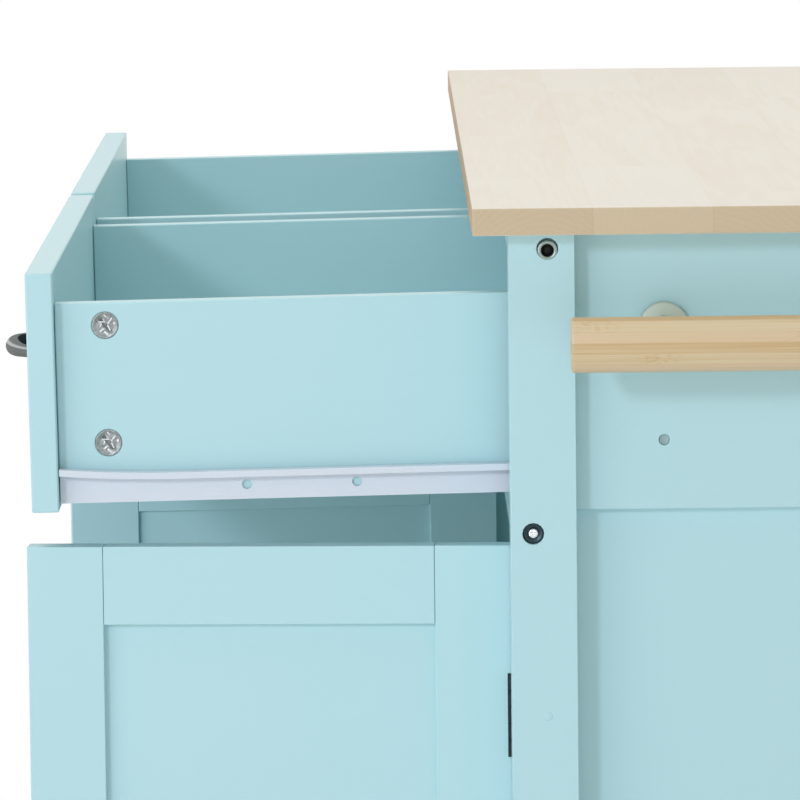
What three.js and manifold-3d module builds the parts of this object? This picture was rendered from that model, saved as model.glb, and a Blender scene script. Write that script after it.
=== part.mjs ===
// Kitchen island unit: painted cabinet with a solid wood worktop, two drawers on roller runners,
// four framed doors on butt hinges and a towel bar on the right end.
// Millimetres, +Z up. The long side runs along X, the doors and drawers face -Y, the floor is Z = 0.
// It is drawn with both drawers pulled out and the right pair of doors open.
import * as THREE from 'three';
import { mergeVertices } from 'three/addons/utils/BufferGeometryUtils.js';
import Module from 'manifold-3d';

const wasm = await Module();
wasm.setup();

// ---------- driving dimensions ----------

// Worktop
const worktopLength = 1230;
const worktopDepth = 470;
const worktopThickness = 15;
const worktopEdgeRadius = 1.5;
const overallHeight = 900;
const endOverhang = 20;
const frontOverhang = 20;
const backOverhang = 20;

// Frame: four posts that reach the floor, and the rails between the front ones
const postWidth = 40;
const postDepth = 36;
const legHeight = 70;
const railRecess = 1.2;
const topRailHeight = 18;
const topRailDepth = 40;
const drawerOpeningHeight = 138;
const middleRailHeight = 19;
const middleRailDepth = 22;
const bottomRailHeight = 30;
const bottomRailDepth = 18;
const boltHoleDiameter = 7;
const counterboreDiameter = 12;
const counterboreDepth = 6;

// Panels
const partitionThickness = 16;
const endRailThickness = 15;
const endRailRecess = 14;
const endPanelThickness = 9;
const endPanelRecess = 22;
const backPanelThickness = 9;
const backPanelRecess = 6;
const bottomPanelThickness = 15;
const shelfThickness = 12;
const shelfRise = 290;
const shelfFrontSetback = 60;
const shelfClearance = 0.8;
const shelfPinDiameter = 5;
const shelfPinLength = 9;
const shelfPinInset = 45;
const battenMargin = 1.8;

// Towel bar on the right end
const barDiameter = 30;
const barEndInset = 32.6;
const barStandoff = 42;
const barDrop = 57.6;
const barEndChamfer = 1;
const bracketDiameter = 27;
const bracketFlangeThickness = 5;
const bracketInset = 84.8;
const bracketDrop = 53;
const bracketNeckDiameter = 13;
const bracketCupDiameter = 18;
const bracketCupLength = 12;
const spareHoleDiameter = 6;
const spareHoleDepth = 9;
const spareHoleDrop = 63;

// Doors
const doorGap = 2;
const doorThickness = 15;
const doorFaceRecess = 1.2;
const doorFrameWidth = 42.2;
const doorMeetingGap = 5;
const doorPanelRecess = 4;

// Butt hinges
const hingeLength = 46.4;
const hingeInset = 95;
const hingePinSetback = 1.5;
const hingePinDiameter = 2.4;
const knuckleDiameter = 5.6;
const knuckleCount = 5;
const hingeLeafThickness = 0.8;
const hingeLeafLetIn = 0.3;
const hingeLeafDepth = 13;

// Bow handles
const handleSpan = 96;
const handleReach = 27;
const handleMiddleDiameter = 10.4;
const handleEndDiameter = 6.4;
const handleFootDiameter = 12;
const handleFootThickness = 2.5;
const doorHandleDrop = 205;

// Drawers
const frontGap = 2;
const frontTopGap = 0.8;
const frontHeight = 133;
const frontThickness = 15;
const sideTopDrop = 18;
const sideThickness = 12;
const sideLength = 370;
const drawerBottomThickness = 3;
const drawerBottomRise = 10;
const grooveDepth = 5;
const camDiameter = 15;
const camDepth = 10;
const camInset = 28.1;
const camTopDrop = 12.7;
const camSpacing = 65.4;

// Roller runners: a flanged profile under each drawer side, a channel on the cabinet
const runnerGap = 12.5;
const runnerLength = 350;
const runnerSheet = 1.2;
const runnerSetback = 18;
const channelRise = 6;
const rollerDiameter = 17;
const rollerWidth = 4.2;
const rollerInset = 11;
const rollerPinDiameter = 5;
const rollerTrackOffset = 4.3;
const profileDepth = 16.8;
const profileFlangeWidth = 9.9;
const profileLipHeight = 3.6;
const profileFlare = 3;
const profileFlareLength = 65;
const profileFootWidth = 10;
const profileHoleDiameter = 5.6;
const profileHoleRise = 8.2;
const profileHolePlaces = [103.5, 164.5, 285];
const channelInnerHeight = 23.5;
const channelFlangeWidth = 8.4;
const channelLipHeight = 2;

// Clearances
const seatGap = 0.3;
const runningGap = 0.3;
const pinClearance = 0.25;

// Pose that the object is drawn in
const drawerExtension = 265.4;
const drawerDroopDegrees = 0.88;
const outerDoorOpenDegrees = 86.7;
const innerDoorOpenDegrees = 85;

// ---------- places worked out from the sizes ----------

const bodyLength = worktopLength - 2 * endOverhang;
const bodyDepth = worktopDepth - frontOverhang - backOverhang;
const bodyTop = overallHeight - worktopThickness;
const halfLength = bodyLength / 2;
const frontY = -bodyDepth / 2;
const backY = bodyDepth / 2;
const postInnerX = halfLength - postWidth;
const postBackY = frontY + postDepth;
const railFrontY = frontY + railRecess;
const backPanelFrontY = backY - backPanelRecess - backPanelThickness;
const endRailOuterX = halfLength - endRailRecess;
const endRailInnerX = endRailOuterX - endRailThickness;
const endPanelInnerX = halfLength - endPanelRecess - endPanelThickness;
const middleRailTop = bodyTop - topRailHeight - drawerOpeningHeight;
const middleRailBottom = middleRailTop - middleRailHeight;
const floorTop = legHeight + bottomRailHeight;
const shelfTop = floorTop + shelfRise;
const bayWidth = postInnerX - partitionThickness / 2;
const bayCentreX = (postInnerX + partitionThickness / 2) / 2;
const doorWidth = (bayWidth - 2 * doorGap - doorMeetingGap) / 2;
const doorHeight = middleRailBottom - floorTop - 2 * doorGap;
const doorBottom = floorTop + doorGap;
const barX = halfLength + barStandoff;
const barZ = bodyTop - barDrop;

// The cabinet channel's inner floor is the runner's own datum; rollers stand just clear of it.
const rollerRise = rollerDiameter / 2 + runningGap;
const profileTop = 2 * rollerRise + runnerSheet;
const profileBottom = profileTop - profileDepth;
const axleY = frontY + runnerSetback + rollerInset;
const frontBackY = frontY + doorFaceRecess + frontThickness - axleY;
const sideBottom = profileBottom + runnerSheet + seatGap - rollerRise;
const axleZ = middleRailTop + channelRise + rollerRise;
const channelFall = runnerLength * Math.sin(THREE.MathUtils.degToRad(drawerDroopDegrees));
const battenBottom = axleZ - rollerRise - runnerSheet - battenMargin;
const battenTop = axleZ - rollerRise + channelInnerHeight + runnerSheet + channelFall + battenMargin;
const frontTop = bodyTop - topRailHeight - frontTopGap - axleZ;
const frontBottom = frontTop - frontHeight;
const sideTop = frontTop - sideTopDrop;
const boxWidth = bayWidth - 2 * runnerGap;

// ---------- materials ----------

function finish(color, roughness, metalness) {
  return new THREE.MeshStandardMaterial({ color, roughness, metalness });
}

const paint = finish(0xb4dbe2, 0.45, 0);
const topWood = finish(0xe9e2d6, 0.5, 0);
const barWood = finish(0xd2b996, 0.5, 0);
const bracketMetal = finish(0xb5c5bc, 0.45, 0.6);
const handleMetal = finish(0x6e7370, 0.3, 1);
const hingeMetal = finish(0x1d1f20, 0.4, 0.8);
const runnerMetal = finish(0xcdd7e6, 0.35, 0.2);
const rollerPlastic = finish(0xf0f0ee, 0.5, 0);
const boardLining = finish(0xa9cfd2, 0.6, 0);

// ---------- solid helpers ----------

function toSolid(geometry) {
  const bare = geometry.index ? geometry.toNonIndexed() : geometry.clone();
  bare.deleteAttribute('normal');
  bare.deleteAttribute('uv');
  const merged = mergeVertices(bare, 1e-4);
  return new wasm.Manifold(new wasm.Mesh({
    numProp: 3,
    vertProperties: new Float32Array(merged.attributes.position.array),
    triVerts: new Uint32Array(merged.index.array),
  }));
}

function toGeometry(solid) {
  const { vertProperties, triVerts } = solid.getMesh();
  const geometry = new THREE.BufferGeometry();
  geometry.setAttribute('position', new THREE.BufferAttribute(vertProperties, 3));
  geometry.setIndex(new THREE.BufferAttribute(triVerts, 1));
  return geometry;
}

// Joins `parts`, then cuts `cuts` away; both are lists of geometries.
function carve(parts, cuts = []) {
  let solid = toSolid(parts[0]);
  for (const part of parts.slice(1)) {
    solid = solid.add(toSolid(part));
  }
  for (const cut of cuts) {
    solid = solid.subtract(toSolid(cut));
  }
  return toGeometry(solid);
}

// A box between two limits on each axis, given in either order.
function block([xA, xB], [yA, yB], [zA, zB]) {
  const box = new THREE.BoxGeometry(Math.abs(xB - xA), Math.abs(yB - yA), Math.abs(zB - zA));
  return box.translate((xA + xB) / 2, (yA + yB) / 2, (zA + zB) / 2);
}

// A round bar from one point to another.
function rod(diameter, start, end, sides = 16) {
  const from = new THREE.Vector3(...start);
  const along = new THREE.Vector3(...end).sub(from);
  const bar = new THREE.CylinderGeometry(diameter / 2, diameter / 2, along.length(), sides);
  bar.translate(0, along.length() / 2, 0);
  const turn = new THREE.Quaternion().setFromUnitVectors(
    new THREE.Vector3(0, 1, 0),
    along.clone().normalize(),
  );
  return bar.applyQuaternion(turn).translate(...start);
}

// A flat outline in Y and Z, given a thickness along X.
function slabAlongX(outline, [xA, xB]) {
  const shape = new THREE.Shape(outline.map(([y, z]) => new THREE.Vector2(y, z)));
  const slab = new THREE.ExtrudeGeometry(shape, { depth: Math.abs(xB - xA), bevelEnabled: false });
  slab.applyMatrix4(new THREE.Matrix4().makeBasis(
    new THREE.Vector3(0, 1, 0),
    new THREE.Vector3(0, 0, 1),
    new THREE.Vector3(1, 0, 0),
  ));
  return slab.translate(Math.min(xA, xB), 0, 0);
}

// A flat outline in X and Y, given a thickness along Z.
function slabAlongZ(outline, [zA, zB]) {
  const shape = new THREE.Shape(outline.map(([x, y]) => new THREE.Vector2(x, y)));
  const slab = new THREE.ExtrudeGeometry(shape, { depth: zB - zA, bevelEnabled: false });
  return slab.translate(0, 0, zA);
}

function place(parent, name, geometry, material) {
  const mesh = new THREE.Mesh(geometry, material);
  mesh.name = name;
  parent.add(mesh);
  return mesh;
}

// ---------- worktop ----------

function worktopGeometry() {
  const rim = worktopEdgeRadius;
  const shape = new THREE.Shape();
  const x = worktopLength / 2 - rim;
  shape.moveTo(-x, frontY - frontOverhang + rim);
  shape.lineTo(x, frontY - frontOverhang + rim);
  shape.lineTo(x, backY + backOverhang - rim);
  shape.lineTo(-x, backY + backOverhang - rim);
  shape.closePath();
  const slab = new THREE.ExtrudeGeometry(shape, {
    depth: worktopThickness - 2 * rim,
    bevelThickness: rim,
    bevelSize: rim,
    bevelSegments: 3,
  });
  return slab.translate(0, 0, bodyTop + rim);
}

// ---------- carcass ----------

// Heights and depths of the bolts that pull each front post onto the three front rails.
const frontBolts = [
  [railFrontY + topRailDepth / 2, bodyTop - topRailHeight / 2],
  [railFrontY + middleRailDepth / 2, (middleRailTop + middleRailBottom) / 2],
  [railFrontY + bottomRailDepth / 2, legHeight + bottomRailHeight / 2],
];

function postGeometry(side, isFront) {
  const outerX = side * halfLength;
  const innerX = side * postInnerX;
  const span = isFront ? [frontY, postBackY] : [backY - postDepth, backY];
  const cuts = [];
  if (isFront) {
    for (const [y, z] of frontBolts) {
      const boreEnd = outerX - side * counterboreDepth;
      cuts.push(rod(boltHoleDiameter, [outerX + side, y, z], [innerX - side, y, z]));
      cuts.push(rod(counterboreDiameter, [outerX + side, y, z], [boreEnd, y, z]));
    }
    cuts.push(...knuckleGrooves(side * (postInnerX - doorGap / 2)));
  }
  return carve([block([outerX, innerX], span, [0, bodyTop])], cuts);
}

// The upper board of each end, with the glued batten that carries the drawer channel.
function endRailGeometry(side) {
  const span = [postBackY, backY - postDepth];
  const board = block([side * endRailOuterX, side * endRailInnerX], span, [battenBottom, bodyTop]);
  const batten = block([side * endRailInnerX, side * postInnerX], span, [battenBottom, battenTop]);
  const cuts = [];
  if (side > 0) {
    for (const y of bracketPlaces()) {
      const z = bodyTop - bracketDrop - spareHoleDrop;
      cuts.push(rod(spareHoleDiameter, [endRailOuterX + 1, y, z], [endRailOuterX - spareHoleDepth, y, z]));
    }
  }
  return carve([board, batten], cuts);
}

// Shelf pins on one face of a board; `x` is the face and `toward` the way they point.
function shelfPins(x, toward) {
  const z = shelfTop - shelfThickness - shelfPinDiameter / 2;
  const rows = [frontY + shelfFrontSetback + shelfPinInset, backPanelFrontY - shelfPinInset];
  return rows.map((y) => rod(shelfPinDiameter, [x - toward, y, z], [x + toward * shelfPinLength, y, z], 12));
}

function endPanelGeometry(side) {
  const outerX = side * (halfLength - endPanelRecess);
  const innerX = side * endPanelInnerX;
  const board = block([outerX, innerX], [postBackY, backY - postDepth], [legHeight, battenBottom]);
  return carve([board, ...shelfPins(innerX, -side)]);
}

// A board that fills the plan between the end panels and steps in around the posts.
function steppedPlan(endX, stepX, [yA, yB]) {
  return [
    [-stepX, yA], [stepX, yA], [stepX, postBackY], [endX, postBackY],
    [endX, backY - postDepth], [stepX, backY - postDepth], [stepX, yB], [-stepX, yB],
    [-stepX, backY - postDepth], [-endX, backY - postDepth], [-endX, postBackY], [-stepX, postBackY],
  ];
}

function bottomPanelGeometry() {
  const plan = steppedPlan(endPanelInnerX, postInnerX, [railFrontY + bottomRailDepth, backPanelFrontY]);
  return slabAlongZ(plan, [floorTop - bottomPanelThickness, floorTop]);
}

// The upright between the bays; its front edge is the stile that both inner doors hang on.
function partitionGeometry() {
  const half = partitionThickness / 2;
  const notchY = railFrontY + middleRailDepth;
  const outline = [
    [railFrontY, floorTop], [backPanelFrontY, floorTop], [backPanelFrontY, bodyTop],
    [railFrontY + topRailDepth, bodyTop], [railFrontY + topRailDepth, bodyTop - topRailHeight],
    [railFrontY, bodyTop - topRailHeight], [railFrontY, middleRailTop], [notchY, middleRailTop],
    [notchY, middleRailBottom], [railFrontY, middleRailBottom],
  ];
  const grooves = [
    ...knuckleGrooves(half + doorGap / 2),
    ...knuckleGrooves(-half - doorGap / 2),
  ];
  const pins = [...shelfPins(half, 1), ...shelfPins(-half, -1)];
  return carve([slabAlongX(outline, [-half, half]), ...pins], grooves);
}

function shelfGeometry(side) {
  const innerX = partitionThickness / 2 + shelfClearance;
  const outerX = endPanelInnerX - shelfClearance;
  const span = [frontY + shelfFrontSetback, backY - postDepth - shelfClearance];
  return block([side * innerX, side * outerX], span, [shelfTop - shelfThickness, shelfTop]);
}

function buildCarcass(parent) {
  const railSpan = [-postInnerX, postInnerX];
  place(parent, 'worktop', worktopGeometry(), topWood);
  for (const [side, hand] of [[1, 'right'], [-1, 'left']]) {
    place(parent, `post_front_${hand}`, postGeometry(side, true), paint);
    place(parent, `post_back_${hand}`, postGeometry(side, false), paint);
    place(parent, `end_rail_${hand}`, endRailGeometry(side), paint);
    place(parent, `end_panel_${hand}`, endPanelGeometry(side), paint);
    place(parent, `shelf_${hand}`, shelfGeometry(side), boardLining);
  }
  const rails = [
    ['top_rail', topRailDepth, bodyTop - topRailHeight, bodyTop],
    ['middle_rail', middleRailDepth, middleRailBottom, middleRailTop],
    ['bottom_rail', bottomRailDepth, legHeight, floorTop],
  ];
  for (const [name, depth, low, high] of rails) {
    place(parent, name, block(railSpan, [railFrontY, railFrontY + depth], [low, high]), paint);
  }
  const backSpan = [backPanelFrontY, backPanelFrontY + backPanelThickness];
  place(parent, 'back_panel', block(railSpan, backSpan, [legHeight, bodyTop]), paint);
  place(parent, 'bottom_panel', bottomPanelGeometry(), boardLining);
  place(parent, 'centre_partition', partitionGeometry(), boardLining);
}

// ---------- towel bar ----------

function bracketPlaces() {
  return [frontY + bracketInset, backY - bracketInset];
}

function barProfile(diameter, length, chamfer) {
  const r = diameter / 2;
  const outline = [
    [0, 0], [r - chamfer, 0], [r, chamfer], [r, length - chamfer], [r - chamfer, length], [0, length],
  ];
  return outline.map(([x, y]) => new THREE.Vector2(x, y));
}

function towelBarGeometry() {
  const length = bodyDepth - 2 * barEndInset;
  const bar = new THREE.LatheGeometry(barProfile(barDiameter, length, barEndChamfer), 32);
  return bar.translate(barX, -length / 2, barZ);
}

// Round flange on the end rail, a neck, and a cup that is hollowed to the bar's round back.
function bracketGeometry(y) {
  const foot = new THREE.Vector3(endRailOuterX, y, bodyTop - bracketDrop);
  const seat = new THREE.Vector3(barX, y, barZ);
  const along = seat.clone().sub(foot).normalize();
  const cupStart = seat.clone().addScaledVector(along, -barDiameter / 2 - bracketCupLength / 2);
  const flangeEnd = [foot.x + bracketFlangeThickness, foot.y, foot.z];
  const neckStart = [foot.x + bracketFlangeThickness / 2, foot.y, foot.z];
  const hollow = rod(barDiameter + 2 * seatGap, [barX, y - bracketDiameter, barZ], [barX, y + bracketDiameter, barZ], 32);
  return carve([
    rod(bracketDiameter, foot.toArray(), flangeEnd, 28),
    rod(bracketNeckDiameter, neckStart, cupStart.toArray()),
    rod(bracketCupDiameter, cupStart.toArray(), seat.toArray(), 24),
  ], [hollow]);
}

function buildTowelBar(parent) {
  place(parent, 'towel_bar', towelBarGeometry(), barWood);
  bracketPlaces().forEach((y, index) => {
    place(parent, `bar_bracket_${index ? 'back' : 'front'}`, bracketGeometry(y), bracketMetal);
  });
}

// ---------- handles ----------

// A bow: a rod whose middle swells, bent over half an ellipse so both ends meet the face squarely.
function bowHandleGeometry() {
  const rise = handleReach - handleMiddleDiameter / 2;
  const halfSpan = handleSpan / 2;
  const bow = new THREE.CylinderGeometry(1, 1, 1, 10, 14);
  const points = bow.attributes.position;
  for (let index = 0; index < points.count; index += 1) {
    const turn = points.getY(index) * Math.PI;
    const swell = Math.cos(turn) ** 2;
    const radius = (handleEndDiameter + (handleMiddleDiameter - handleEndDiameter) * swell) / 2;
    const slope = Math.atan2(rise * Math.sin(turn), halfSpan * Math.cos(turn));
    const across = points.getX(index) * radius;
    points.setXYZ(
      index,
      halfSpan * Math.sin(turn) + across * Math.sin(slope),
      -rise * Math.cos(turn) - across * Math.cos(slope),
      points.getZ(index) * radius,
    );
  }
  const feet = [-halfSpan, halfSpan].map((x) => rod(handleFootDiameter, [x, 0, 0], [x, -handleFootThickness, 0], 12));
  const backing = block([-handleSpan, handleSpan], [0, handleMiddleDiameter], [-handleSpan, handleSpan]);
  return carve([bow, ...feet], [backing]);
}

// ---------- hinges and doors ----------

const hingeSides = 12;
const pinSides = 8;
const grooveDiameter = knuckleDiameter + 4 * runningGap;

// The middle heights of the two hinges on every door.
function hingeHeights() {
  return [doorBottom + hingeInset, doorBottom + doorHeight - hingeInset];
}

// Grooves that clear the hinge barrels on the hinge line at `x`.
function knuckleGrooves(x) {
  const reach = hingeLength / 2 + runningGap;
  const y = frontY + hingePinSetback;
  return hingeHeights().map((z) => rod(grooveDiameter, [x, y, z - reach], [x, y, z + reach], hingeSides));
}

// One half of a butt hinge about its own pin: the leaf lies on the `leafSide` of the pin, let in by
// `letIn`, and the knuckles at the `turns` places along the barrel are its own.
function hingeHalf(leafSide, turns, letIn) {
  const step = hingeLength / knuckleCount;
  const low = (turn) => -hingeLength / 2 + turn * step + runningGap / 2;
  const high = (turn) => -hingeLength / 2 + (turn + 1) * step - runningGap / 2;
  const leafX = [leafSide * (doorGap / 2 - hingeLeafThickness), leafSide * (doorGap / 2 + letIn)];
  const others = [...Array(knuckleCount).keys()].filter((turn) => !turns.includes(turn));
  const clear = knuckleDiameter / 2 + runningGap;
  const barrel = turns.map((turn) => rod(knuckleDiameter, [0, 0, low(turn)], [0, 0, high(turn)], hingeSides));
  const relief = others.map((turn) => block(
    [-clear, clear],
    [-clear, clear],
    [low(turn) - runningGap, high(turn) + runningGap],
  ));
  const leaf = block(leafX, [0, hingeLeafDepth], [-hingeLength / 2, hingeLength / 2]);
  return { leaf, barrel, relief };
}

function fixedHingeGeometry(reach) {
  const half = hingeHalf(-reach, [0, 2, 4], 0);
  const pin = rod(hingePinDiameter, [0, 0, -hingeLength / 2 + 1], [0, 0, hingeLength / 2 - 1], pinSides);
  return toGeometry(toSolid(carve([half.leaf], half.relief)).add(toSolid(carve([pin, ...half.barrel]))));
}

// Framed door about its pin, closed and running from the pin along `reach` (+1 or -1 in X).
function doorGeometry(reach) {
  const nearX = reach * doorGap / 2;
  const farX = nearX + reach * doorWidth;
  const outerY = doorFaceRecess - hingePinSetback;
  const innerY = outerY + doorThickness;
  const panelX = [nearX + reach * doorFrameWidth, farX - reach * doorFrameWidth];
  const panelZ = [doorFrameWidth, doorHeight - doorFrameWidth];
  const cuts = [
    block(panelX, [outerY - 1, outerY + doorPanelRecess], panelZ),
    block(panelX, [innerY - doorPanelRecess, innerY + 1], panelZ),
  ];
  let leaf = toSolid(block([nearX, farX], [outerY, innerY], [0, doorHeight]));
  for (const cut of cuts) {
    leaf = leaf.subtract(toSolid(cut));
  }
  const bore = hingePinDiameter + 2 * pinClearance;
  const length = hingeLength / 2 + runningGap;
  for (const height of hingeHeights()) {
    const z = height - doorBottom;
    const half = hingeHalf(reach, [1, 3], hingeLeafLetIn);
    const metal = toSolid(carve([half.leaf, ...half.barrel], half.relief)).translate([0, 0, z]);
    leaf = leaf.subtract(toSolid(rod(grooveDiameter, [0, 0, z - length], [0, 0, z + length], hingeSides)));
    leaf = leaf.add(metal).subtract(toSolid(rod(bore, [0, 0, z - length], [0, 0, z + length], pinSides)));
  }
  return toGeometry(leaf);
}

function buildDoor(parent, name, pinX, reach, openDegrees) {
  const pinY = frontY + hingePinSetback;
  for (const [index, z] of hingeHeights().entries()) {
    const hinge = place(parent, `${name}_hinge_${index ? 'top' : 'bottom'}`, fixedHingeGeometry(reach), hingeMetal);
    hinge.position.set(pinX, pinY, z);
  }
  const door = new THREE.Group();
  door.position.set(pinX, pinY, doorBottom);
  door.rotation.z = -reach * THREE.MathUtils.degToRad(openDegrees);
  parent.add(door);
  place(door, `${name}_leaf`, doorGeometry(reach), paint);
  const handle = place(door, `${name}_handle`, bowHandleGeometry(), handleMetal);
  const stileX = reach * (doorGap / 2 + doorWidth - doorFrameWidth / 2);
  handle.position.set(stileX, doorFaceRecess - hingePinSetback - seatGap, doorHeight - doorHandleDrop);
  handle.rotation.y = Math.PI / 2;
}

function buildDoors(parent) {
  const outerPin = postInnerX - doorGap / 2;
  const innerPin = partitionThickness / 2 + doorGap / 2;
  buildDoor(parent, 'door_right_outer', outerPin, -1, outerDoorOpenDegrees);
  buildDoor(parent, 'door_right_inner', innerPin, 1, innerDoorOpenDegrees);
  buildDoor(parent, 'door_left_inner', -innerPin, -1, 0);
  buildDoor(parent, 'door_left_outer', -outerPin, 1, 0);
}

// ---------- drawers ----------

// Drawer pieces are drawn about the front roller's axle, closed, centred on their own bay.
const sideStartY = frontBackY + seatGap;
const sideEndY = frontBackY + sideLength;
const bottomZ = sideBottom + drawerBottomRise;

function drawerBottomGroove(xSpan, ySpan) {
  return block(xSpan, ySpan, [bottomZ - seatGap, bottomZ + drawerBottomThickness + seatGap]);
}

function drawerFrontGeometry() {
  const halfWidth = bayWidth / 2 - frontGap;
  const board = block([-halfWidth, halfWidth], [frontBackY - frontThickness, frontBackY], [frontBottom, frontTop]);
  const innerX = boxWidth / 2 - sideThickness + grooveDepth;
  return carve([board], [drawerBottomGroove([-innerX, innerX], [frontBackY - grooveDepth, frontBackY + 1])]);
}

function drawerSideGeometry(side) {
  const outerX = side * boxWidth / 2;
  const innerX = outerX - side * sideThickness;
  const cuts = [drawerBottomGroove([innerX - side, innerX + side * grooveDepth], [sideStartY - 1, sideEndY + 1])];
  for (const y of [frontBackY + camInset, sideEndY - camInset]) {
    for (const drop of [camTopDrop, camTopDrop + camSpacing]) {
      const z = sideTop - drop;
      cuts.push(rod(camDiameter, [outerX + side, y, z], [outerX - side * camDepth, y, z], 20));
    }
  }
  return carve([block([outerX, innerX], [sideStartY, sideEndY], [sideBottom, sideTop])], cuts);
}

function drawerBackGeometry() {
  const halfWidth = boxWidth / 2 - sideThickness - seatGap;
  const span = [sideEndY - sideThickness, sideEndY];
  return block([-halfWidth, halfWidth], span, [bottomZ + drawerBottomThickness + seatGap, sideTop]);
}

function drawerBottomGeometry() {
  const halfWidth = boxWidth / 2 - sideThickness + grooveDepth - seatGap;
  const span = [frontBackY - grooveDepth + seatGap, sideEndY];
  return block([-halfWidth, halfWidth], span, [bottomZ, bottomZ + drawerBottomThickness]);
}

// The profile's upper line, from its front end: raised at the front, easing down to level.
function profileLine(offset) {
  const points = [];
  const steps = 5;
  for (let step = 0; step <= steps; step += 1) {
    const run = (step / steps) * profileFlareLength;
    const lift = profileFlare * (1 - step / steps) ** 2;
    points.push([run, profileTop + lift + offset]);
  }
  points.push([runnerLength - 2 * rollerInset - seatGap, profileTop + offset]);
  return points;
}

function band(upper, lower) {
  return [...profileLine(lower), ...profileLine(upper).reverse()];
}

// A runner strip: outline from the profile's front end and the channel's floor, across `gap` limits
// measured outward from the drawer side.
function runnerPiece(side, outline, [gapA, gapB], startY) {
  const faceX = side * boxWidth / 2;
  const placed = outline.map(([y, z]) => [y + startY, z - rollerRise]);
  return slabAlongX(placed, [faceX + side * gapA, faceX + side * gapB]);
}

function rollerSpan(side) {
  const near = side * (boxWidth / 2 + rollerTrackOffset);
  return [near, near + side * rollerWidth];
}

function drawerProfileGeometry(side) {
  const webOut = seatGap + runnerSheet;
  const startY = sideStartY + seatGap;
  const axisY = startY + runnerLength - rollerInset;
  const piece = (outline, gaps) => runnerPiece(side, outline, gaps, startY);
  const webTop = profileLine(0);
  const lowEdge = [[runnerLength, profileTop], [runnerLength, profileBottom], [0, profileBottom]];
  const footTop = profileBottom + runnerSheet;
  const foot = [[0, profileBottom], [runnerLength, profileBottom], [runnerLength, footTop], [0, footTop]];
  const [rollerNear, rollerFar] = rollerSpan(side);
  const faceX = side * boxWidth / 2;
  const holes = [];
  for (const holePlace of profileHolePlaces) {
    const y = startY + holePlace;
    const z = profileBottom + profileHoleRise - rollerRise;
    holes.push(rod(profileHoleDiameter, [faceX, y, z], [faceX + side * 2 * webOut, y, z], 12));
  }
  return carve([
    piece([...webTop, ...lowEdge], [seatGap, webOut]),
    piece(band(0, -runnerSheet), [seatGap, profileFlangeWidth]),
    piece(band(0, -profileLipHeight), [profileFlangeWidth - runnerSheet, profileFlangeWidth]),
    piece(foot, [-profileFootWidth, webOut]),
    rod(rollerPinDiameter, [faceX + side * (webOut - runnerSheet / 2), axisY, 0], [rollerFar, axisY, 0], 10),
    rod(rollerDiameter, [rollerNear, axisY, 0], [rollerFar, axisY, 0], 20),
  ], holes);
}

function cabinetChannelGeometry(side) {
  const webIn = runnerGap - seatGap - runnerSheet;
  const webOut = runnerGap - seatGap;
  const startY = -rollerInset;
  const piece = (low, high, gaps) => runnerPiece(side, [
    [0, low], [runnerLength, low], [runnerLength, high], [0, high],
  ], gaps, startY);
  const faceX = side * boxWidth / 2;
  const flangeIn = webOut - channelFlangeWidth - runnerSheet;
  const [rollerNear] = rollerSpan(side);
  const holes = [];
  for (const share of [0.2, 0.5, 0.9]) {
    const y = startY + share * runnerLength;
    holes.push(rod(profileHoleDiameter, [faceX + side * (webIn - 1), y, 0], [faceX + side * (webOut + 1), y, 0], 12));
  }
  const axlePin = rollerPinDiameter - 2 * pinClearance;
  const headEnd = rollerNear - side * (runningGap + runnerSheet);
  return carve([
    piece(-runnerSheet, channelInnerHeight + runnerSheet, [webIn, webOut]),
    piece(-runnerSheet, 0, [flangeIn, webOut]),
    piece(-runnerSheet, channelLipHeight, [flangeIn, flangeIn + runnerSheet]),
    piece(channelInnerHeight, channelInnerHeight + runnerSheet, [flangeIn, webOut]),
    rod(axlePin, [headEnd, 0, 0], [faceX + side * webOut, 0, 0], 12),
    rod(axlePin + 2, [headEnd, 0, 0], [rollerNear - side * runningGap, 0, 0], 12),
  ], holes);
}

function frontRollerGeometry(side) {
  const [near, far] = rollerSpan(side);
  return carve([rod(rollerDiameter, [near, 0, 0], [far, 0, 0], 20)], [
    rod(rollerPinDiameter, [near - side, 0, 0], [far + side, 0, 0], 12),
  ]);
}

function buildDrawer(parent, hand, centreX) {
  const runnerFrame = new THREE.Group();
  runnerFrame.position.set(centreX, axleY, axleZ);
  runnerFrame.rotation.x = THREE.MathUtils.degToRad(drawerDroopDegrees);
  parent.add(runnerFrame);
  const drawer = new THREE.Group();
  drawer.position.y = -drawerExtension;
  runnerFrame.add(drawer);

  for (const [side, end] of [[1, 'r'], [-1, 'l']]) {
    place(runnerFrame, `channel_${hand}_${end}`, cabinetChannelGeometry(side), runnerMetal);
    place(runnerFrame, `roller_${hand}_${end}`, frontRollerGeometry(side), rollerPlastic);
    place(drawer, `drawer_${hand}_side_${end}`, drawerSideGeometry(side), paint);
    place(drawer, `drawer_${hand}_profile_${end}`, drawerProfileGeometry(side), runnerMetal);
  }
  place(drawer, `drawer_${hand}_front`, drawerFrontGeometry(), paint);
  place(drawer, `drawer_${hand}_back`, drawerBackGeometry(), paint);
  place(drawer, `drawer_${hand}_bottom`, drawerBottomGeometry(), boardLining);
  const handle = place(drawer, `drawer_${hand}_handle`, bowHandleGeometry(), handleMetal);
  handle.position.set(0, frontBackY - frontThickness - seatGap, (frontTop + frontBottom) / 2);
}

// ---------- the whole island ----------

const island = new THREE.Group();
buildCarcass(island);
buildTowelBar(island);
buildDoors(island);
buildDrawer(island, 'right', bayCentreX);
buildDrawer(island, 'left', -bayCentreX);

// The origin is the middle of the footprint of everything, on the floor.
const extent = new THREE.Box3().setFromObject(island);
const middle = extent.getCenter(new THREE.Vector3());
island.position.set(-middle.x, -middle.y, -extent.min.z);

export default island;
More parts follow.
